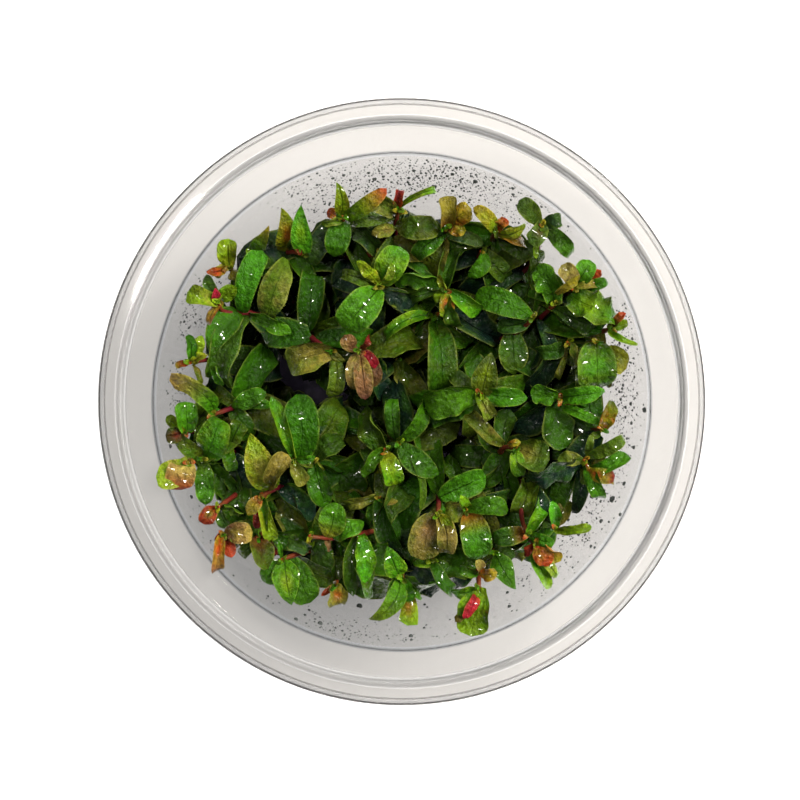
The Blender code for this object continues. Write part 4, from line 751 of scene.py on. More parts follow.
        (-7.5, 7.6, 42.2, -7.8, 2.0, 42.4, 2.2, "khaki", "flat"),
        (-6.8, 7.4, 41.6, -6.0, 0.3, 42.0, 3.0, "tan>rose", "flat"),
        (-8.2, 8.8, 42.8, -9.4, 11.0, 43.6, 2.6, "tan", "flat"),
        (-6.5, 8.2, 43.0, -4.0, 5.6, 44.2, 1.9, "crimson", "flat lifted"),
        (-6.2, 7.6, 42.4, -4.4, 2.4, 42.6, 3.2, "rose>tan", "flat"),
        (-6.8, 8.8, 42.6, -5.4, 10.6, 44.0, 1.6, "wine"),
    )),
    (((12.7, -30.7, 44.6), (12.7, -28.2, 41.6)), (
        (13.0, -31.0, 44.6, 11.5, -38.8, 46.4, 5.4, "lime", "sunken round"),
        (12.3, -31.4, 45.2, 10.1, -35.8, 46.6, 1.9, "crimson", "lifted"),
        (12.0, -31.6, 44.8, 8.8, -36.4, 46.4, 1.4, "brown", "flared sunken"),
        (12.2, -31.0, 44.2, 8.1, -31.3, 44.6, 2.4, "bright"),
        (12.4, -28.6, 42.8, 9.5, -27.6, 43.2, 2.0, "green"),
        (13.0, -28.4, 42.8, 15.8, -28.2, 43.8, 2.2, "amber"),
        (12.7, -28.0, 42.8, 12.2, -26.2, 43.8, 1.7, "khaki"),
    )),
    (((15.2, -24.9, 41.0),), (
        (15.5, -25.2, 41.0, 18.8, -31.0, 42.8, 3.6, "green*bright", "pointed"),
        (15.4, -24.6, 40.0, 18.6, -25.8, 40.0, 2.4, "dark"),
    )),
    (((20.6, -21.8, 43.0), (19.5, -18.7, 41.0), (20.3, -13.8, 38.2)), (
        (20.3, -21.7, 42.6, 15.0, -22.6, 42.4, 3.2, "dark<rust"),
        (20.9, -21.4, 42.8, 22.8, -17.2, 43.8, 4.0, "bright*lime"),
        (21.0, -22.0, 42.8, 25.2, -23.3, 43.4, 2.2, "bright"),
        (20.2, -13.4, 40.0, 19.0, -18.3, 40.0, 4.2, "olive"),
        (20.7, -13.6, 38.6, 24.0, -18.0, 38.0, 3.4, "teal"),
    )),
    (((22.0, -23.6, 43.4),), (
        (22.3, -23.6, 43.8, 24.2, -27.2, 45.2, 3.2, "rust"),
        (22.5, -23.4, 43.4, 26.2, -26.4, 44.8, 2.5, "amber"),
        (22.4, -23.9, 43.0, 25.7, -28.8, 44.4, 1.7, "lime"),
        (22.0, -24.1, 42.8, 24.7, -30.7, 44.4, 2.6, "bright>lime"),
        (21.6, -23.8, 42.8, 20.2, -25.4, 43.2, 1.8, "wine"),
    )),
    (((25.3, -21.0, 42.6),), (
        (25.7, -21.2, 42.6, 31.3, -20.5, 44.8, 2.0, "lime"),
        (25.2, -20.6, 42.2, 24.9, -16.4, 43.8, 2.4, "bright"),
        (25.0, -20.6, 40.6, 22.4, -18.6, 40.2, 2.6, "dark"),
    )),
    (((5.0, -26.2, 40.0),), (
        (5.1, -26.5, 40.0, 8.4, -31.4, 40.8, 2.2, "green"),
        (4.8, -26.4, 39.8, 1.8, -26.6, 40.2, 1.7, "bright"),
        (5.3, -26.2, 39.0, 9.6, -28.8, 39.2, 1.8, "green"),
    )),
)


def true_point(x, y, height):
    """A plan position, read at the lip's height, moved out along the eye's line to a height."""
    grow = (EYE_ABOVE_LIP + CUP_HEIGHT - height) / EYE_ABOVE_LIP
    return np.array((x * grow, y * grow, height))


def solid_points(node):
    """The corner points of a solid of the frame, in millimetres."""
    return np.array([vertex.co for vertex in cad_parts[node].data.vertices]) / MM


def corners_around(points, centre, reach):
    """How many different points lie at a distance from a centre."""
    near = points[np.abs(np.linalg.norm(points - centre, axis=1) - reach) < CORNER_SLACK]
    return len(np.unique(np.round(near, 2), axis=0))


def settled_stem(points, route):
    """The stem as its solid stands: the plan's points at the crown's true height, and the root below."""
    drop = max(CROWN_DROPS, key=lambda drop: corners_around(
        points, true_point(route[0][0], route[0][1], route[0][2] - drop), STEM_RADIUS))
    foot = np.unique(np.round(points[points[:, 2] < GEL_TOP + 1.1], 2), axis=0)
    return [true_point(x, y, z - drop) for x, y, z in route] + [foot.mean(axis=0)]


def settled_leaf(points, leaf):
    """Base, tip and width of a leaf as its solid lies: its tip is on the eye's line through the plan."""
    base_x, base_y, base_z, tip_x, tip_y, tip_z, width = leaf[:7]
    shrink = EYE_ABOVE_LIP / (EYE_ABOVE_LIP + CUP_HEIGHT - points[:, 2])
    off = np.hypot(points[:, 0] * shrink - tip_x, points[:, 1] * shrink - tip_y)
    tips = points[off < TIP_SLACK]
    tip = tips[np.argmin(np.abs(tips[:, 2] - tip_z))]
    best = None
    for move in BASE_MOVES:
        base = true_point(base_x, base_y, base_z + move)
        length = np.linalg.norm(tip - base)
        middle = (base + tip) / 2 + np.array((0.0, 0.0, LEAF_ARCH * length))
        t, share = LONG_LEAF_RING if length > SHORT_LEAF else SHORT_LEAF_RING
        centre = (1 - t) ** 2 * base + 2 * t * (1 - t) * middle + t * t * tip
        for slim in BLADE_SHARES:
            reach = np.hypot(max(share * width * slim, STALK_WIDTH) / 2, LEAF_THICKNESS / 2)
            found = corners_around(points, centre, reach)
            if best is None or found > best[0]:
                best = (found, base, width * slim)
    return best[1], tip, best[2]


def along_path(path, count):
    """Points evenly spaced along a path, its bends eased by a running mean whose ends stay in place."""
    path = np.array(path)
    fine = np.concatenate([[0.0], np.cumsum(np.linalg.norm(np.diff(path, axis=0), axis=1))])
    spots = np.linspace(0.0, fine[-1], count)
    points = np.stack([np.interp(spots, fine, path[:, axis]) for axis in range(3)], axis=1)
    kernel = np.ones(5) / 5
    padded = np.vstack([2 * points[0] - points[2:0:-1], points, 2 * points[-1] - points[-2:-4:-1]])
    return np.stack([np.convolve(padded[:, axis], kernel, "valid") for axis in range(3)], axis=1)


def path_frames(points, across):
    """Forward, across and up directions along a path, across staying square to the path."""
    forward = np.gradient(points, axis=0)
    forward /= np.linalg.norm(forward, axis=1)[:, None]
    across = across - forward * np.sum(across * forward, axis=1)[:, None]
    across /= np.linalg.norm(across, axis=1)[:, None]
    return forward, across, np.cross(across, forward)


def stem_skin(path, joints):
    """A round stem: rings of radius R along the path, R thinner at the crown and swollen at each joint."""
    long = np.linalg.norm(np.diff(np.array(path), axis=0), axis=1).sum()
    points = along_path(path, int(long / STEM_STEP) + 2)
    forward, across, up = path_frames(points, np.tile((0.31, 0.95, 0.0), (len(points), 1)))
    down = np.linspace(0.0, long, len(points))
    swell = np.minimum(sum(np.exp(-((down - joint) / JOINT_REACH) ** 2) for joint in joints), 1.0)
    radius = CROWN_GIRTH + GIRTH_GAIN * np.clip(down / GIRTH_REACH, 0.0, 1.0)
    radius = radius * (1.0 + JOINT_SWELL * swell)
    angle = np.linspace(0.0, 2 * np.pi, STEM_SIDES, endpoint=False)[None, :, None]
    ring = np.sin(angle) * up[:, None] - np.cos(angle) * across[:, None]
    rings = points[:, None] + ring * radius[:, None, None]
    skin = np.vstack([points[:1] - forward[:1] * 0.2, rings.reshape(-1, 3), points[-1:]])
    return skin, np.concatenate([[0.0], np.repeat(down, STEM_SIDES), [long]])


def leaf_line(base, tip, form, count):
    """The midrib from base to tip, added up from small steps.

    A step's pitch falls evenly from arch to -arch and turns on by curl times the fifth power of the way,
    and its yaw swings from bend to -bend. The line is scaled and sheared until its farthest point is the tip.
    """
    t = np.linspace(0.0, 1.0, count)
    pitch = form["arch"] * (1 - 2 * t) - form["curl"] * t ** 5
    yaw = form["bend"] * (1 - 2 * t)
    steps = np.stack([np.cos(pitch) * np.cos(yaw), np.sin(yaw), np.sin(pitch) * np.cos(yaw)], axis=1)
    line = np.vstack([np.zeros((1, 3)), np.cumsum((steps[1:] + steps[:-1]) / 2, axis=0)])
    far = line[np.argmax(line[:, 0])]
    line[:, 1:] -= line[:, :1] / far[0] * far[1:]
    forward = tip - base
    side = np.cross(forward, (0.0, 0.0, 1.0))
    side /= np.linalg.norm(side)
    upward = np.cross(side, forward)
    return base + line / far[0] @ np.stack([forward, side * np.linalg.norm(forward), upward]), side


def leaf_section(form, way, out):
    """How a unit half blade runs across, at every station: right, up and the angle it has reached.

    The angle starts at fold beside the midrib, grows by cup times the way out and by roll times its cube,
    and the line is the sum of small steps at that angle. Both halves have a roll of their own.
    """
    fine = np.linspace(0.0, 1.0, HALF_STEPS + 1)
    open_up = np.interp(way, (0.0, 0.35, 0.65, 1.0), (1.0, 0.85, 0.85, 0.05))[:, None]
    across = np.zeros((len(way), len(out)))
    rise = np.zeros_like(across)
    angles = np.zeros_like(across)
    for sign, roll in ((-1.0, form["roll"][0]), (1.0, form["roll"][1])):
        angle = (form["fold"] + form["cup"] * fine + roll * fine ** 3) * open_up
        run = np.cumsum(np.cos(angle), axis=1) - np.cos(angle[:, :1])
        lift = np.cumsum(np.sin(angle), axis=1) - np.sin(angle[:, :1])
        mine = np.flatnonzero(out * sign > 1e-9)
        share = np.abs(out[mine]) * HALF_STEPS
        low = np.minimum(share.astype(int), HALF_STEPS - 1)
        part = share - low
        scales = (sign / HALF_STEPS, 1 / HALF_STEPS, sign)
        for target, values, scale in zip((across, rise, angles), (run, lift, angle), scales):
            target[:, mine] = (values[:, low] * (1 - part) + values[:, low + 1] * part) * scale
    return across, rise, angles


def leaf_skin(foot, base, tip, width, form, stations, around):
    """A thin leaf blade grown from a foot on the stem.

    The midrib runs straight from the foot to the base and then along its line. The half width grows from a
    shoulder as a quarter sine to the belly and falls to the tip as one minus a power; the section is a thin
    lens round the folded, cupped and rolled line across, its edges ripple and the field between its side
    veins swells. Returns points, and for each the way along (0 to 1), the way out (-1 to 1), and both in
    millimetres.
    """
    blade, side = leaf_line(base, tip, form, 40)
    midrib = np.vstack([foot + (base - foot) * np.linspace(0.0, 1.0, 6)[:-1, None], blade])
    far = np.concatenate([[0.0], np.cumsum(np.linalg.norm(np.diff(midrib, axis=0), axis=1))])
    start = far[5] / far[-1]
    way = np.linspace(0.0, 1.0, stations + 2)
    points = np.stack([np.interp(far[-1] * way, far, midrib[:, axis]) for axis in range(3)], axis=1)
    across, up = path_frames(points, np.tile(side, (len(points), 1)))[1:]
    turn = (form["lean"] + form["twist"] * (way - 0.3))[:, None]
    across, up = across * np.cos(turn) + up * np.sin(turn), up * np.cos(turn) - across * np.sin(turn)
    t = np.clip((way - start) / (1.0 - start), 0.0, 1.0)
    grow = np.sin(0.5 * np.pi * np.clip(t / form["belly"], 0.0, 1.0))
    beyond = np.clip((t - form["belly"]) / (1 - form["belly"]), 0.0, 1.0)
    fall = (1 - beyond ** form["blunt"]) ** form["point"]
    half = np.where(t < form["belly"], form["shoulder"] + (1 - form["shoulder"]) * grow, fall)
    half = half * np.interp(way, (0.0, max(start, 0.02)), (0.35, 1.0))
    angle = np.linspace(0.0, 2 * np.pi, around, endpoint=False)
    out = -np.cos(angle)
    run, lift, tilt = leaf_section(form, way, out)
    seen = np.ptp(run, axis=1).max() / 2 * np.cos(form["lean"])
    half = half[:, None] * width / 2 / max(seen, 0.62)
    beat = form["beats"] * 2 * np.pi * way[:, None] + np.where(out < 0, form["phase"][0], form["phase"][1])
    lift = lift + form["wave"] * np.abs(out) ** 1.7 * np.sin(beat)
    pillow = np.sin(form["pillows"] * far[-1] * way[:, None] - 2.2 * np.abs(out))
    lift = lift + 0.07 * (pillow * np.sin(np.pi * np.abs(out)))
    thick = np.interp(way, (0.0, max(start, 0.12), 1.0), BLADE_THICKNESS)[:, None] * np.sin(angle)
    right = run * half - np.sin(tilt) * thick
    rise = lift * half + np.cos(tilt) * thick
    rings = (points[:, None] + across[:, None] * right[..., None] + up[:, None] * rise[..., None])[1:-1]
    skin = np.vstack([points[:1], rings.reshape(-1, 3), points[-1:]])
    along = np.concatenate([[0.0], np.repeat(way[1:-1], around), [1.0]])
    aside = np.concatenate([[0.0], np.tile(out, stations), [0.0]])
    apart = np.concatenate([[0.0], (half[1:-1] * out).ravel(), [0.0]])
    return skin, along, aside, along * far[-1], apart


# Ways in which one leaf can differ from its chance form, named in the plan after its tone.
FORMS = {
    "flat": {"fold": 0.1, "cup": 0.1, "roll": (0.1, 0.2), "curl": 0.2, "wave": 0.08, "lean": 0.0,
             "twist": 0.15},
    "round": {"blunt": 3.4, "point": 0.5, "belly": 0.5, "shoulder": 0.4, "fold": 0.1, "curl": 0.2,
              "cup": 0.3},
    "pointed": {"blunt": 1.6, "point": 0.95, "belly": 0.34},
    "drop": {"blunt": 1.5, "point": 0.95, "belly": 0.32, "shoulder": 0.6},
    "flared": {"shoulder": 0.22, "belly": 0.95, "blunt": 8.0, "point": 0.4, "fold": 0.2, "lean": 0.0},
    "cupped": {"cup": 1.1, "fold": 0.2, "roll": (0.6, 0.6), "blunt": 2.8, "point": 0.55, "lean": 0.0},
    "curled": {"curl": 2.7, "arch": 0.6, "cup": 0.4},
    "folded": {"fold": 0.95, "cup": 0.2, "roll": (0.0, 0.0), "lean": 0.25},
    "rolled": {"fold": 0.3, "cup": 0.6, "roll": (1.9, 1.9), "wave": 0.1},
    "wavy": {"wave": 0.42, "beats": 2.6, "fold": 0.2},
    "ragged": {"wave": 0.38, "beats": 3.4, "fold": 0.1, "cup": 0.2, "blunt": 3.0, "point": 0.5},
    "square": {"blunt": 6.0, "point": 0.45, "belly": 0.55, "shoulder": 0.6, "curl": 0.3},
    "bowed_left": {"bend": -0.6},
    "bowed_right": {"bend": 0.6},
    "lifted": {"arch": 1.0},
    "sunken": {"arch": -0.25},
}


def leaf_form(chance, kinds=""):
    """How one leaf departs from a flat oval, as chance values. Two leaves in five curl at the tip."""
    curls = [chance.uniform(0.0, 0.7), chance.uniform(1.0, 2.6), chance.uniform(-1.0, 0.0)]
    curl = chance.choice(curls, p=[0.45, 0.4, 0.15])
    form = {
        "arch": chance.uniform(0.2, 0.95), "bend": chance.normal(0.0, 0.28), "curl": curl,
        "twist": chance.uniform(-1.0, 1.0), "lean": chance.normal(0.0, 0.3),
        "fold": chance.uniform(0.0, 0.75), "cup": chance.uniform(-0.8, 0.9),
        "roll": chance.uniform(-1.1, 1.8, 2), "wave": chance.uniform(0.05, 0.4),
        "beats": chance.uniform(1.0, 3.0), "phase": chance.uniform(0.0, 6.28, 2),
        "belly": chance.uniform(0.36, 0.56), "shoulder": chance.uniform(0.3, 0.6),
        "pillows": chance.uniform(2.4, 3.6),
        "blunt": chance.uniform(1.8, 3.2), "point": chance.uniform(0.55, 0.85),
    }
    for kind in kinds.split():
        form |= FORMS[kind]
    return form


# What a tone blushes into in patches and towards the edge.
BLUSHES = {
    "bright": ("green", "lime", "bright"),
    "green": ("bright", "dark", "olive"),
    "dark": ("green", "teal", "olive"),
    "teal": ("dark", "green"),
    "lime": ("bright", "khaki", "amber"),
    "olive": ("khaki", "green", "dark"),
    "khaki": ("olive", "rose", "lime"),
    "amber": ("lime", "khaki", "rust"),
    "rust": ("wine", "amber", "lime"),
    "wine": ("rust", "brown"),
    "crimson": ("wine", "rust"),
    "rose": ("khaki", "wine"),
    "brown": ("olive", "dark"),
    "tan": ("khaki", "rose"),
    "peach": ("tan", "rust"),
}


def leaf_colour(tone, along, aside, chance):
    """Tone and blush, lighter at one end and side with painted light and shade, and a second tone where
    marked.
    """
    mark = next((sign for sign in ">*<" if sign in tone), ">")
    names = tone.split(mark)
    first = np.array(TONES[names[0]])
    second = np.array(TONES[names[-1]])
    reach = {
        ">": np.clip((along - 0.35) / 0.6, 0.0, 1.0) ** 1.5,
        "<": np.clip(1.0 - along / 0.55, 0.0, 1.0) ** 1.2,
        "*": np.exp(-((along - 0.5) / 0.2) ** 2 - (aside / 0.42) ** 2),
    }[mark][:, None]
    blush = np.array(TONES[chance.choice(BLUSHES[names[0]])])
    # Painted light and shade: lighter towards one end and one side of the leaf.
    light = 1.0 + chance.uniform(-0.45, 0.6) * (along - 0.5) + chance.uniform(-0.16, 0.16) * aside
    own_and_painted_light = chance.uniform(0.85, 1.18) * (1.0 + chance.uniform(-0.12, 0.12, 3)) * light[:, None]
    return (first * (1 - reach) + second * reach) * own_and_painted_light, (blush * (1 - reach) + second * reach) * own_and_painted_light


def crown_leaves(path, chance):
    """Young leaf pairs packed round the growing tip: base, tip and width of each."""
    crown = np.array(path[0])
    turn = chance.uniform(0, 6.28)
    young = []
    for level, (length, lean) in enumerate(YOUNG_PAIRS):
        for half_turn in (0.0, np.pi):
            angle = turn + level * np.pi / 2 + half_turn + chance.uniform(-0.3, 0.3)
            out = np.array((np.cos(angle) * np.sin(lean), np.sin(angle) * np.sin(lean), np.cos(lean)))
            young.append((crown, crown + out * length, length * 0.55))
    return young


def lower_leaves(path, lowest, chance):
    """Pairs of older leaves on the shaded part of a stem, each pair square to the pair above it."""
    points = along_path(path, LOWER_PLACES)
    turn = chance.uniform(0, 6.28)
    pairs = []
    height = lowest - chance.uniform(1.0, 2.6)
    while height > GEL_TOP + 3.0:
        foot = points[np.argmin(np.abs(points[:, 2] - height))]
        for half_turn in (0.0, np.pi):
            angle = turn + half_turn + chance.uniform(-0.25, 0.25)
            length = chance.uniform(*LOWER_LENGTH)
            out = np.array((np.cos(angle), np.sin(angle)))
            rise = length * chance.uniform(-0.2, 0.35)
            tip = np.append(foot[:2] + out * length, min(foot[2] + rise, LOW_CEILING))
            limit = min(wall_radius(tip[2]) - WALL_CLEARANCE, LOW_REACH)
            reach = np.hypot(tip[0], tip[1])
            if reach > limit:
                tip[:2] *= limit / reach
            if np.linalg.norm(tip - foot) > 2.4:
                pairs.append((foot, tip, chance.uniform(0.48, 0.64) * np.linalg.norm(tip - foot)))
        turn += np.pi / 2 + chance.uniform(-0.2, 0.2)
        height -= chance.uniform(*LOWER_SPACE)
    return pairs


def leaf_surface():
    """The leaf's look: tone and blush, mottling partly painted light and shade, a dark midrib, a pale edge
    and wet glints.
    """
    material, nodes, links, shader = new_material("leaf_blade")

    def maths(operation, first, second=None, third=None):
        node = nodes.new("ShaderNodeMath")
        node.operation = operation
        for socket, value in zip(node.inputs, (first, second, third)):
            if value is None:
                continue
            if isinstance(value, (int, float)):
                socket.default_value = value
            else:
                links.new(value, socket)
        return node.outputs["Value"]

    def ranged(value, low, high, to_low, to_high):
        node = nodes.new("ShaderNodeMapRange")
        node.interpolation_type = "SMOOTHSTEP"
        for name, number in (("From Min", low), ("From Max", high), ("To Min", to_low), ("To Max", to_high)):
            node.inputs[name].default_value = number
        links.new(value, node.inputs["Value"])
        return node.outputs["Result"]

    def attribute(name):
        node = nodes.new("ShaderNodeAttribute")
        node.attribute_name = name
        return node

    def noise(scale, detail, vector):
        node = nodes.new("ShaderNodeTexNoise")
        node.inputs["Scale"].default_value = scale
        node.inputs["Detail"].default_value = detail
        links.new(vector, node.inputs["Vector"])
        return node.outputs["Fac"]

    def mixed(blend, factor, first, second):
        node = nodes.new("ShaderNodeMix")
        node.data_type = "RGBA"
        node.blend_type = blend
        for name, value in (("Factor", factor), ("A", first), ("B", second)):
            if isinstance(value, (float, tuple)):
                node.inputs[name].default_value = value
            else:
                links.new(value, node.inputs[name])
        return node.outputs["Result"]

    place = attribute("blade_place").outputs["Vector"]
    apart = nodes.new("ShaderNodeSeparateXYZ")
    links.new(place, apart.inputs["Vector"])
    share = nodes.new("ShaderNodeSeparateXYZ")
    links.new(attribute("blade_share").outputs["Vector"], share.inputs["Vector"])
    edge = maths("ABSOLUTE", share.outputs["Y"])
    patches = noise(0.45, 3.0, place)
    speckle = noise(3.2, 2.0, place)
    dapple = noise(1.1, 2.0, place)
    wetness = noise(1.3, 1.0, place)
    lean = maths("MULTIPLY_ADD", edge, 0.16, maths("MULTIPLY_ADD", share.outputs["X"], 0.12, patches))
    blushed = mixed("MIX", ranged(lean, 0.48, 0.84, 0.0, 0.85), attribute("leaf_tone_and_painted_shade").outputs["Color"],
                    attribute("leaf_blush_and_painted_shade").outputs["Color"])
    rib = maths("MULTIPLY", ranged(maths("ABSOLUTE", apart.outputs["Y"]), 0.04, 0.16, 1.0, 0.0),
                ranged(share.outputs["X"], 0.6, 0.9, 1.0, 0.0))
    rib = maths("MULTIPLY", rib, share.outputs["Z"])
    slant = maths("MULTIPLY_ADD", maths("ABSOLUTE", apart.outputs["Y"]), -0.9, apart.outputs["X"])
    veins = maths("MULTIPLY", ranged(maths("SINE", maths("MULTIPLY", slant, 6.8)), 0.6, 1.0, 0.0, 1.0),
                  ranged(edge, 0.1, 0.4, 0.0, 1.0))
    # The speckle and dapple mottle the tone and stand in for light and shade on the uneven blade: partly
    # painted light and shade.
    shade = maths("MULTIPLY", ranged(speckle, 0.3, 0.7, 0.8, 1.2), maths("MULTIPLY_ADD", veins, 0.10, 1.0))
    shade = maths("MULTIPLY", shade, ranged(dapple, 0.3, 0.7, 0.76, 1.26))
    shade = maths("MULTIPLY", shade, maths("MULTIPLY_ADD", rib, -0.6, 1.0))
    lit = mixed("MULTIPLY", 1.0, blushed, shade)
    # The pale edge is partly the margin's own paler colour and partly painted light shining through the thin
    # edge.
    rim = maths("MULTIPLY", ranged(edge, 0.84, 0.99, 0.0, 0.5), ranged(patches, 0.35, 0.6, 0.3, 1.0))
    links.new(mixed("SCREEN", rim, lit, (0.16, 0.17, 0.03, 1.0)), shader.inputs["Base Color"])
    links.new(ranged(speckle, 0.3, 0.7, 0.42, 0.26), shader.inputs["Roughness"])
    shader.inputs["Specular IOR Level"].default_value = 0.2
    links.new(ranged(wetness, 0.48, 0.6, 0.02, 0.95), shader.inputs["Coat Weight"])
    shader.inputs["Coat Roughness"].default_value = 0.06
    relief = maths("MULTIPLY_ADD", veins, 0.12, maths("MULTIPLY", speckle, 0.4))
    relief = maths("MULTIPLY_ADD", rib, -0.8, relief)
    relief = maths("MULTIPLY_ADD", dapple, 2.2, relief)
    raise_surface(material, relief, 0.9, 0.0003)
    return material


def stem_surface():
    """The stem's skin: its tone along the shoot with fine mottling, smooth and moist."""
    material, nodes, links, shader = new_material("stem_skin")
    tone = nodes.new("ShaderNodeAttribute")
    tone.attribute_name = "leaf_tone_and_painted_shade"
    place = nodes.new("ShaderNodeTexCoord")
    mottling = nodes.new("ShaderNodeTexNoise")
    mottling.inputs["Scale"].default_value = 1500.0
    links.new(place.outputs["Object"], mottling.inputs["Vector"])
    lit = nodes.new("ShaderNodeMix")
    lit.data_type = "RGBA"
    lit.blend_type = "OVERLAY"
    lit.inputs["Factor"].default_value = 0.5
    links.new(tone.outputs["Color"], lit.inputs["A"])
    links.new(mottling.outputs["Fac"], lit.inputs["B"])
    links.new(lit.outputs["Result"], shader.inputs["Base Color"])
    shader.inputs["Roughness"].default_value = 0.4
    shader.inputs["Specular IOR Level"].default_value = 0.2
    shader.inputs["Coat Weight"].default_value = 0.15
    return material


STEM_TIP = (0.12, 0.040, 0.010)
STEM_CRIMSON = (0.08, 0.004, 0.012)
STEM_SALMON = (0.15, 0.022, 0.010)
STEM_ROOT = (0.05, 0.03, 0.012)


def stem_colour(down, chance):
    """Stem colour by the way down from the crown: tan, then salmon to crimson, and brown at the root."""
    ripe = chance.uniform(0.0, 1.0)
    red = np.array(STEM_CRIMSON) * ripe + np.array(STEM_SALMON) * (1.0 - ripe)
    first = np.clip(down / 3.0, 0.0, 1.0)[:, None]
    second = np.clip((down - 8.0) / 12.0, 0.0, 1.0)[:, None]
    return (np.array(STEM_TIP) * (1 - first) + red * first) * (1 - second) + np.array(STEM_ROOT) * second


CROWN_TONES = ("lime", "bright", "amber", "olive", "khaki>rust")
LOWER_TONES = ("green", "dark", "teal", "green", "olive")


def grow_shoot(number, route, leaves, blade, skin):
    """One shoot as a single mesh: stem, planned leaves as settled, young crown and shaded lower pairs."""
    node = f"shoot_{number:02d}"
    chance = np.random.default_rng(1000 + number)
    solid = solid_points(node)
    path = settled_stem(solid, route)
    fine = along_path(path, SPRING_PLACES)
    long = np.linalg.norm(np.diff(np.array(path), axis=0), axis=1).sum()
    bodies = []
    joints = []
    feet = []

    def add_leaf(base, tip, width, tone, painted_dim, grid, kinds=""):
        spot = np.argmin(np.linalg.norm(fine - base, axis=1) + np.maximum(fine[:, 2] - base[2] + 0.3, 0.0))
        joints.append(long * spot / (SPRING_PLACES - 1))
        feet.append(fine[spot][2])
        points, along, aside, mm_along, mm_aside = leaf_skin(
            fine[spot], base, tip, width, leaf_form(chance, kinds), *grid)
        colour, blush = leaf_colour(tone, along, aside, chance)
        # Painted shade: every leaf's tone darkens further down in the cup and lightens near its top.
        painted_dim = (painted_dim * np.interp(points[:, 2], PAINTED_SHADE_HEIGHTS, PAINTED_SHADE))[:, None]
        place = np.stack([mm_along, mm_aside, np.full(len(along), chance.uniform(0, 50))], axis=1)
        share = np.stack([along, aside, np.full(len(along), chance.uniform(0, 1) ** 2)], axis=1)
        bodies.append((points, grid, colour * painted_dim, blush * painted_dim, place, share, 0))

    for leaf in leaves:
        base, tip, width = settled_leaf(solid, leaf)
        add_leaf(base, tip, max(width, 1.1 * leaf[6]), leaf[7], 1.0, FULL_LEAF, *leaf[8:])
    lowest = min(feet)
    for base, tip, width in crown_leaves(path, chance):
        add_leaf(base, tip, width, chance.choice(CROWN_TONES), 1.0, SMALL_LEAF)
    for base, tip, width in lower_leaves(path, lowest, chance):
        # Painted shade: the shaded leaves darken further towards the gel.
        painted_depth_shade = np.clip((base[2] - GEL_TOP) / 26.0, 0.5, 1.0)
        add_leaf(base, tip, width, chance.choice(LOWER_TONES), painted_depth_shade, SMALL_LEAF)
    points, down = stem_skin(path, sorted(joints))
    grid = ((len(points) - 2) // STEM_SIDES, STEM_SIDES)
    colour = stem_colour(down, chance)
    place = np.stack([down, down * 0.0, down * 0.0], axis=1)
    bodies.append((points, grid, colour, colour, place, place * 0.0, 1))

    faces = []
    slots = []
    first = 0
    for points, grid, *_, slot in bodies:
        faces += closed_faces(*grid, first)
        slots += [slot] * (len(faces) - len(slots))
        first += len(points)
    points = np.vstack([body[0] for body in bodies])
    piece = new_piece(f"rotala_{number:02d}", points, faces, [blade, skin], sharp=1.1)
    piece.data.polygons.foreach_set("material_index", slots)
    for column, name in ((2, "leaf_tone_and_painted_shade"), (3, "leaf_blush_and_painted_shade")):
        colour = np.vstack([body[column] for body in bodies])
        layer = piece.data.attributes.new(name, "FLOAT_COLOR", "POINT")
        layer.data.foreach_set("color", np.hstack([colour, np.ones((len(colour), 1))]).ravel())
    for column, name in ((4, "blade_place"), (5, "blade_share")):
        layer = piece.data.attributes.new(name, "FLOAT_VECTOR", "POINT")
        layer.data.foreach_set("vector", np.vstack([body[column] for body in bodies]).ravel())
    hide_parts(node)


blade = leaf_surface()
skin = stem_surface()
for number, (route, leaves) in enumerate(SHOOTS, 1):
    grow_shoot(number, route, leaves, blade, skin)


# Condensation
# Small drops of water that cling to the inside of the cup's wall: a fine mist near the ledge, and larger,
# flattened drops that have run together lower down. They sit on the plastic.
WATER_IOR = 1.33
# Painted light on a drop's face and painted shade at its rim.
WATER_PAINTED_LIGHT = (0.12, 0.135, 0.125)
WATER_PAINTED_SHADE = (0.01, 0.012, 0.011)
# Where the mist is thick, as seen from the eye: its middle (x, y), its spread both ways and its drops.
MIST = (
    (4.0, 36.2, 9.0, 1.5, 620), (6.0, 38.2, 10.0, 1.2, 420), (16.0, 33.5, 6.0, 2.5, 260),
    (24.0, 30.0, 4.0, 3.0, 90), (-12.0, 34.0, 5.0, 2.0, 260), (-31.5, 18.2, 2.0, 1.8, 90),
    (-34.6, 13.0, 1.4, 3.0, 110), (-37.0, 1.0, 1.2, 3.2, 110), (36.5, 8.0, 1.2, 4.0, 220),
    (37.0, -1.0, 1.3, 3.5, 180), (35.5, -9.0, 1.2, 3.0, 110), (32.0, -17.0, 2.0, 3.0, 130),
    (29.5, -22.0, 2.5, 3.0, 140), (24.0, -30.0, 4.0, 3.0, 100), (-13.0, -37.6, 6.0, 1.2, 150),
    (0.0, -38.8, 8.0, 1.0, 70), (-24.0, -31.0, 4.0, 3.0, 50), (-33.0, -22.0, 2.0, 4.0, 40),
)
# The mist is kept to where the wall shows, between these two radii as seen from the eye.
WALL_SHOWS = (29.0, 40.3)
# A small drop's least width, what chance adds to it in the mean, and its greatest width.
MIST_WIDTHS = (0.2, 0.1, 0.7)
# Drops run into each other where they are nearer than this share of their two widths together.
TOUCHING = 0.62
DROP_SIDES = 10
# How wide a drop is round the wall and down it, as shares of its width.
DROP_OVAL = (0.9, 0.8)
# Rings of a drop, each by its radius and its height off the wall as shares of the drop's width.
DROP_RINGS = ((0.0, -0.06), (0.5, 0.0), (0.46, 0.22), (0.28, 0.42), (0.0, 0.5))
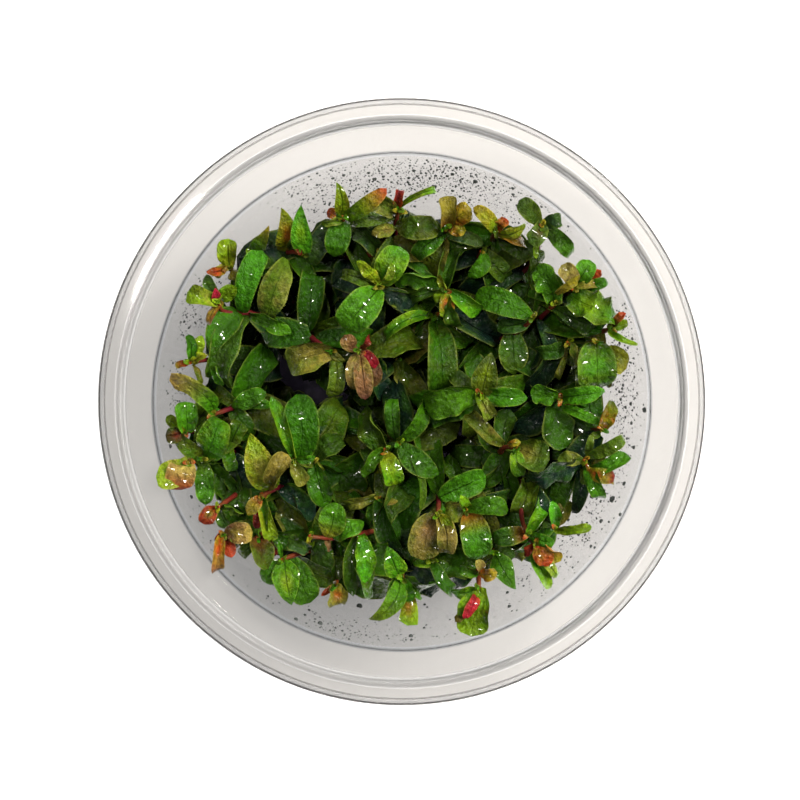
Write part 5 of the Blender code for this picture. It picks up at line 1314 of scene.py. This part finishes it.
# The larger drops by their place as seen from the eye (x, y) and their width.
LARGE_DROPS = (
    (-7.0, -33.9, 1.3), (-17.5, -36.0, 0.8), (-13.5, -36.7, 1.0), (-16.0, -35.3, 0.6), (-15.3, -34.5, 0.6),
    (17.5, -31.6, 0.7), (17.8, -33.9, 0.8), (3.8, -33.6, 0.6), (4.2, -34.0, 0.5), (29.5, -16.5, 1.5),
    (31.6, -15.8, 0.9), (28.6, -18.2, 0.8), (33.0, -19.8, 0.9), (29.3, -22.0, 0.8), (27.6, -19.6, 0.7),
    (34.9, -16.2, 1.4), (36.8, -13.6, 0.9), (38.4, -7.6, 0.8), (37.9, -0.4, 0.8), (38.0, -3.6, 0.7),
    (37.0, -2.6, 0.6), (40.2, -1.4, 1.1), (36.2, -18.7, 0.8), (-34.8, -15.8, 0.8), (-38.3, -7.4, 0.8),
    (1.5, -38.8, 0.9), (1.6, -39.4, 0.6), (-4.5, 36.8, 0.9), (5.4, 35.6, 1.1), (8.4, 37.6, 0.8),
    (12.2, 36.4, 1.0), (-9.6, 37.4, 0.7), (2.0, 38.2, 0.8), (15.2, 37.0, 0.7), (-14.0, 35.8, 0.6),
)


def on_the_wall(x, y):
    """Points on the inside of the wall behind seen places, with their round, down and inward directions."""
    heights = np.linspace(GEL_TOP + 1.0, WALL_TOP[1], 60)
    seen = wall_radius(heights) * EYE_ABOVE_LIP / (EYE_ABOVE_LIP + CUP_HEIGHT - heights)
    height = np.interp(np.hypot(x, y), seen, heights)
    angle = np.arctan2(y, x)
    radius = wall_radius(height)
    slope = np.arctan2(WALL_TOP[0] - WALL_BOTTOM[0], WALL_TOP[1] - WALL_BOTTOM[1])
    flat = np.zeros_like(angle)
    outward = np.stack([np.cos(angle), np.sin(angle), flat], axis=1)
    inward = -outward * np.cos(slope) + np.array((0.0, 0.0, np.sin(slope)))
    around = np.stack([-np.sin(angle), np.cos(angle), flat], axis=1)
    place = outward * radius[:, None] + np.array((0.0, 0.0, 1.0)) * height[:, None]
    return place, around, np.cross(inward, around), inward


def drop_skins(x, y, width):
    """Closed domes: a sunk base point, a ring on the wall, two higher smaller rings and a top point each."""
    place, around, down, inward = on_the_wall(x, y)
    angle = np.linspace(0.0, 2 * np.pi, DROP_SIDES, endpoint=False)
    parts = []
    for reach, lift in DROP_RINGS:
        spin = angle if reach else angle[:1]
        flat = (around[:, None] * DROP_OVAL[0] * np.cos(spin)[None, :, None]
                + down[:, None] * DROP_OVAL[1] * np.sin(spin)[None, :, None]) * reach
        parts.append(place[:, None] + (flat + inward[:, None] * lift) * width[:, None, None])
    points = np.concatenate(parts, axis=1)
    rings = len(DROP_RINGS) - 2
    firsts = range(0, points.shape[0] * points.shape[1], points.shape[1])
    faces = [face for first in firsts for face in closed_faces(rings, DROP_SIDES, first)]
    return points.reshape(-1, 3), faces


def mist_places(chance):
    """Places and widths of the small drops: bell-shaped clusters, kept where the wall shows."""
    clusters = np.repeat(np.array(MIST), [int(cluster[4]) for cluster in MIST], axis=0)
    x = clusters[:, 0] + clusters[:, 2] * chance.normal(0.0, 1.0, len(clusters))
    y = clusters[:, 1] + clusters[:, 3] * chance.normal(0.0, 1.0, len(clusters))
    least, mean, greatest = MIST_WIDTHS
    width = np.minimum(least + chance.exponential(mean, len(clusters)), greatest)
    shows = (np.hypot(x, y) > WALL_SHOWS[0]) & (np.hypot(x, y) < WALL_SHOWS[1])
    return np.stack([x, y, width], axis=1)[shows]


def apart_only(drops):
    """The drops that no larger drop touches: a smaller one has run into it."""
    drops = drops[np.argsort(-drops[:, 2])]
    place = on_the_wall(drops[:, 0], drops[:, 1])[0]
    gap = np.linalg.norm(place[:, None] - place[None], axis=2)
    touch = np.tril(gap < TOUCHING * (drops[:, 2][:, None] + drops[:, 2][None]), -1)
    return drops[~touch.any(axis=1)]


def water():
    """Clear water in a drop, with painted light where it faces the eye and painted shade where its rim turns
    away.
    """
    material, nodes, links, shader = new_material("condensed_water")
    painted_rim_shade = nodes.new("ShaderNodeLayerWeight")
    painted_rim_shade.inputs["Blend"].default_value = 0.45
    tint = mixed_tints(material, painted_rim_shade.outputs["Facing"], WATER_PAINTED_LIGHT, WATER_PAINTED_SHADE)
    links.new(tint, shader.inputs["Base Color"])
    shader.inputs["Roughness"].default_value = 0.03
    shader.inputs["Transmission Weight"].default_value = 0.3
    shader.inputs["IOR"].default_value = WATER_IOR
    return material


drops = apart_only(np.vstack([mist_places(np.random.default_rng(7)), LARGE_DROPS]))
drop_points, drop_faces = drop_skins(*drops.T)
condensation = new_piece("condensation", drop_points, drop_faces, [water()], sharp=2.0)


# Floor, light and camera
# A plain white floor under soft white light that is stronger from the upper right, and a camera that looks
# straight down into the cup.
# The floor's half width in metres, wide enough that low views don't show its end.
FLOOR_REACH = 20.0
FLOOR_WHITE = (0.85, 0.85, 0.85)
FLOOR_GLOW = 1.0
EYE_HEIGHT = EYE_ABOVE_LIP + CUP_HEIGHT
EYE_X = -0.3
EYE_Y = 0.25
SENSOR = 36.0
VIEW_WIDTH = 132.0
ROOM_LIGHT = 1.2
OVERHEAD_LIGHT = 0.25
# The dark patch overhead fades into the room light between these two heights on a sphere of radius one.
OVERHEAD_EDGE = (0.55, 0.86)
# The way to the room's brighter side, and how much brighter it is than the middle.
BRIGHT_SIDE = (0.92, 0.38, 0.0)
SIDE_LIGHT = 0.45
LIGHT_COLOUR = (1.0, 0.96, 0.91)
# Soft lights: place and width in metres, power in watts, and whether the wet leaves mirror it.
SOFT_BOXES = (
    ("window", (0.38, 0.16, 0.34), 0.34, 5.2, False),
    ("lamp", (0.34, 0.36, 0.70), 0.10, 2.6, True),
    ("second_lamp", (-0.16, 0.10, 0.95), 0.10, 2.6, True),
)

floor_mesh = bpy.data.meshes.new("floor")
corners = [(x * FLOOR_REACH, y * FLOOR_REACH, 0.0) for x, y in ((-1, -1), (1, -1), (1, 1), (-1, 1))]
floor_mesh.from_pydata(corners, [], [(0, 1, 2, 3)])
floor = bpy.data.objects.new("floor", floor_mesh)
bpy.context.scene.collection.objects.link(floor)
paint, _, _, shader = new_material("floor_white")
shader.inputs["Base Color"].default_value = (*FLOOR_WHITE, 1.0)
shader.inputs["Roughness"].default_value = 0.9
shader.inputs["Emission Color"].default_value = (1.0, 1.0, 1.0, 1.0)
shader.inputs["Emission Strength"].default_value = FLOOR_GLOW
floor_mesh.materials.append(paint)


def studio_world():
    """White room light: dark straight overhead, bright round the sides and brightest to the upper right."""
    world = bpy.data.worlds.new("studio")
    world.use_nodes = True
    nodes = world.node_tree.nodes
    links = world.node_tree.links
    place = nodes.new("ShaderNodeTexCoord")
    height = nodes.new("ShaderNodeSeparateXYZ")
    links.new(place.outputs["Generated"], height.inputs["Vector"])
    overhead = nodes.new("ShaderNodeMapRange")
    overhead.interpolation_type = "SMOOTHSTEP"
    links.new(height.outputs["Z"], overhead.inputs["Value"])
    overhead.inputs["From Min"].default_value = OVERHEAD_EDGE[0]
    overhead.inputs["From Max"].default_value = OVERHEAD_EDGE[1]
    overhead.inputs["To Min"].default_value = ROOM_LIGHT
    overhead.inputs["To Max"].default_value = OVERHEAD_LIGHT
    side = nodes.new("ShaderNodeVectorMath")
    side.operation = "DOT_PRODUCT"
    side.inputs[1].default_value = BRIGHT_SIDE
    links.new(place.outputs["Generated"], side.inputs[0])
    slope = nodes.new("ShaderNodeMapRange")
    slope.inputs["From Min"].default_value = -1.0
    slope.inputs["To Min"].default_value = 1.0 - SIDE_LIGHT
    slope.inputs["To Max"].default_value = 1.0 + SIDE_LIGHT
    links.new(side.outputs["Value"], slope.inputs["Value"])
    strength = nodes.new("ShaderNodeMath")
    strength.operation = "MULTIPLY"
    links.new(overhead.outputs["Result"], strength.inputs[0])
    links.new(slope.outputs["Result"], strength.inputs[1])
    links.new(strength.outputs["Value"], nodes["Background"].inputs["Strength"])
    return world


def soft_box(name, place, size, power, glints):
    """A square area light turned to the cup. Without glints it isn't mirrored in the wet leaves."""
    light = bpy.data.lights.new(name, "AREA")
    light.size = size
    light.energy = power
    light.color = LIGHT_COLOUR
    lamp = bpy.data.objects.new(name, light)
    lamp.visible_glossy = glints
    lamp.visible_transmission = glints
    lamp.location = place
    aim = Vector((0.0, 0.0, CUP_HEIGHT * MM)) - Vector(place)
    lamp.rotation_euler = aim.to_track_quat("-Z", "Y").to_euler()
    bpy.context.scene.collection.objects.link(lamp)


bpy.context.scene.world = studio_world()
for soft_light in SOFT_BOXES:
    soft_box(*soft_light)

eye = bpy.data.cameras.new("eye")
eye.sensor_width = SENSOR
eye.lens = SENSOR * EYE_ABOVE_LIP / VIEW_WIDTH
eye.clip_start = 0.01
camera = bpy.data.objects.new("eye", eye)
camera.location = (EYE_X * MM, EYE_Y * MM, EYE_HEIGHT * MM)
bpy.context.scene.collection.objects.link(camera)
bpy.context.scene.camera = camera
bpy.context.scene.view_settings.view_transform = "Standard"
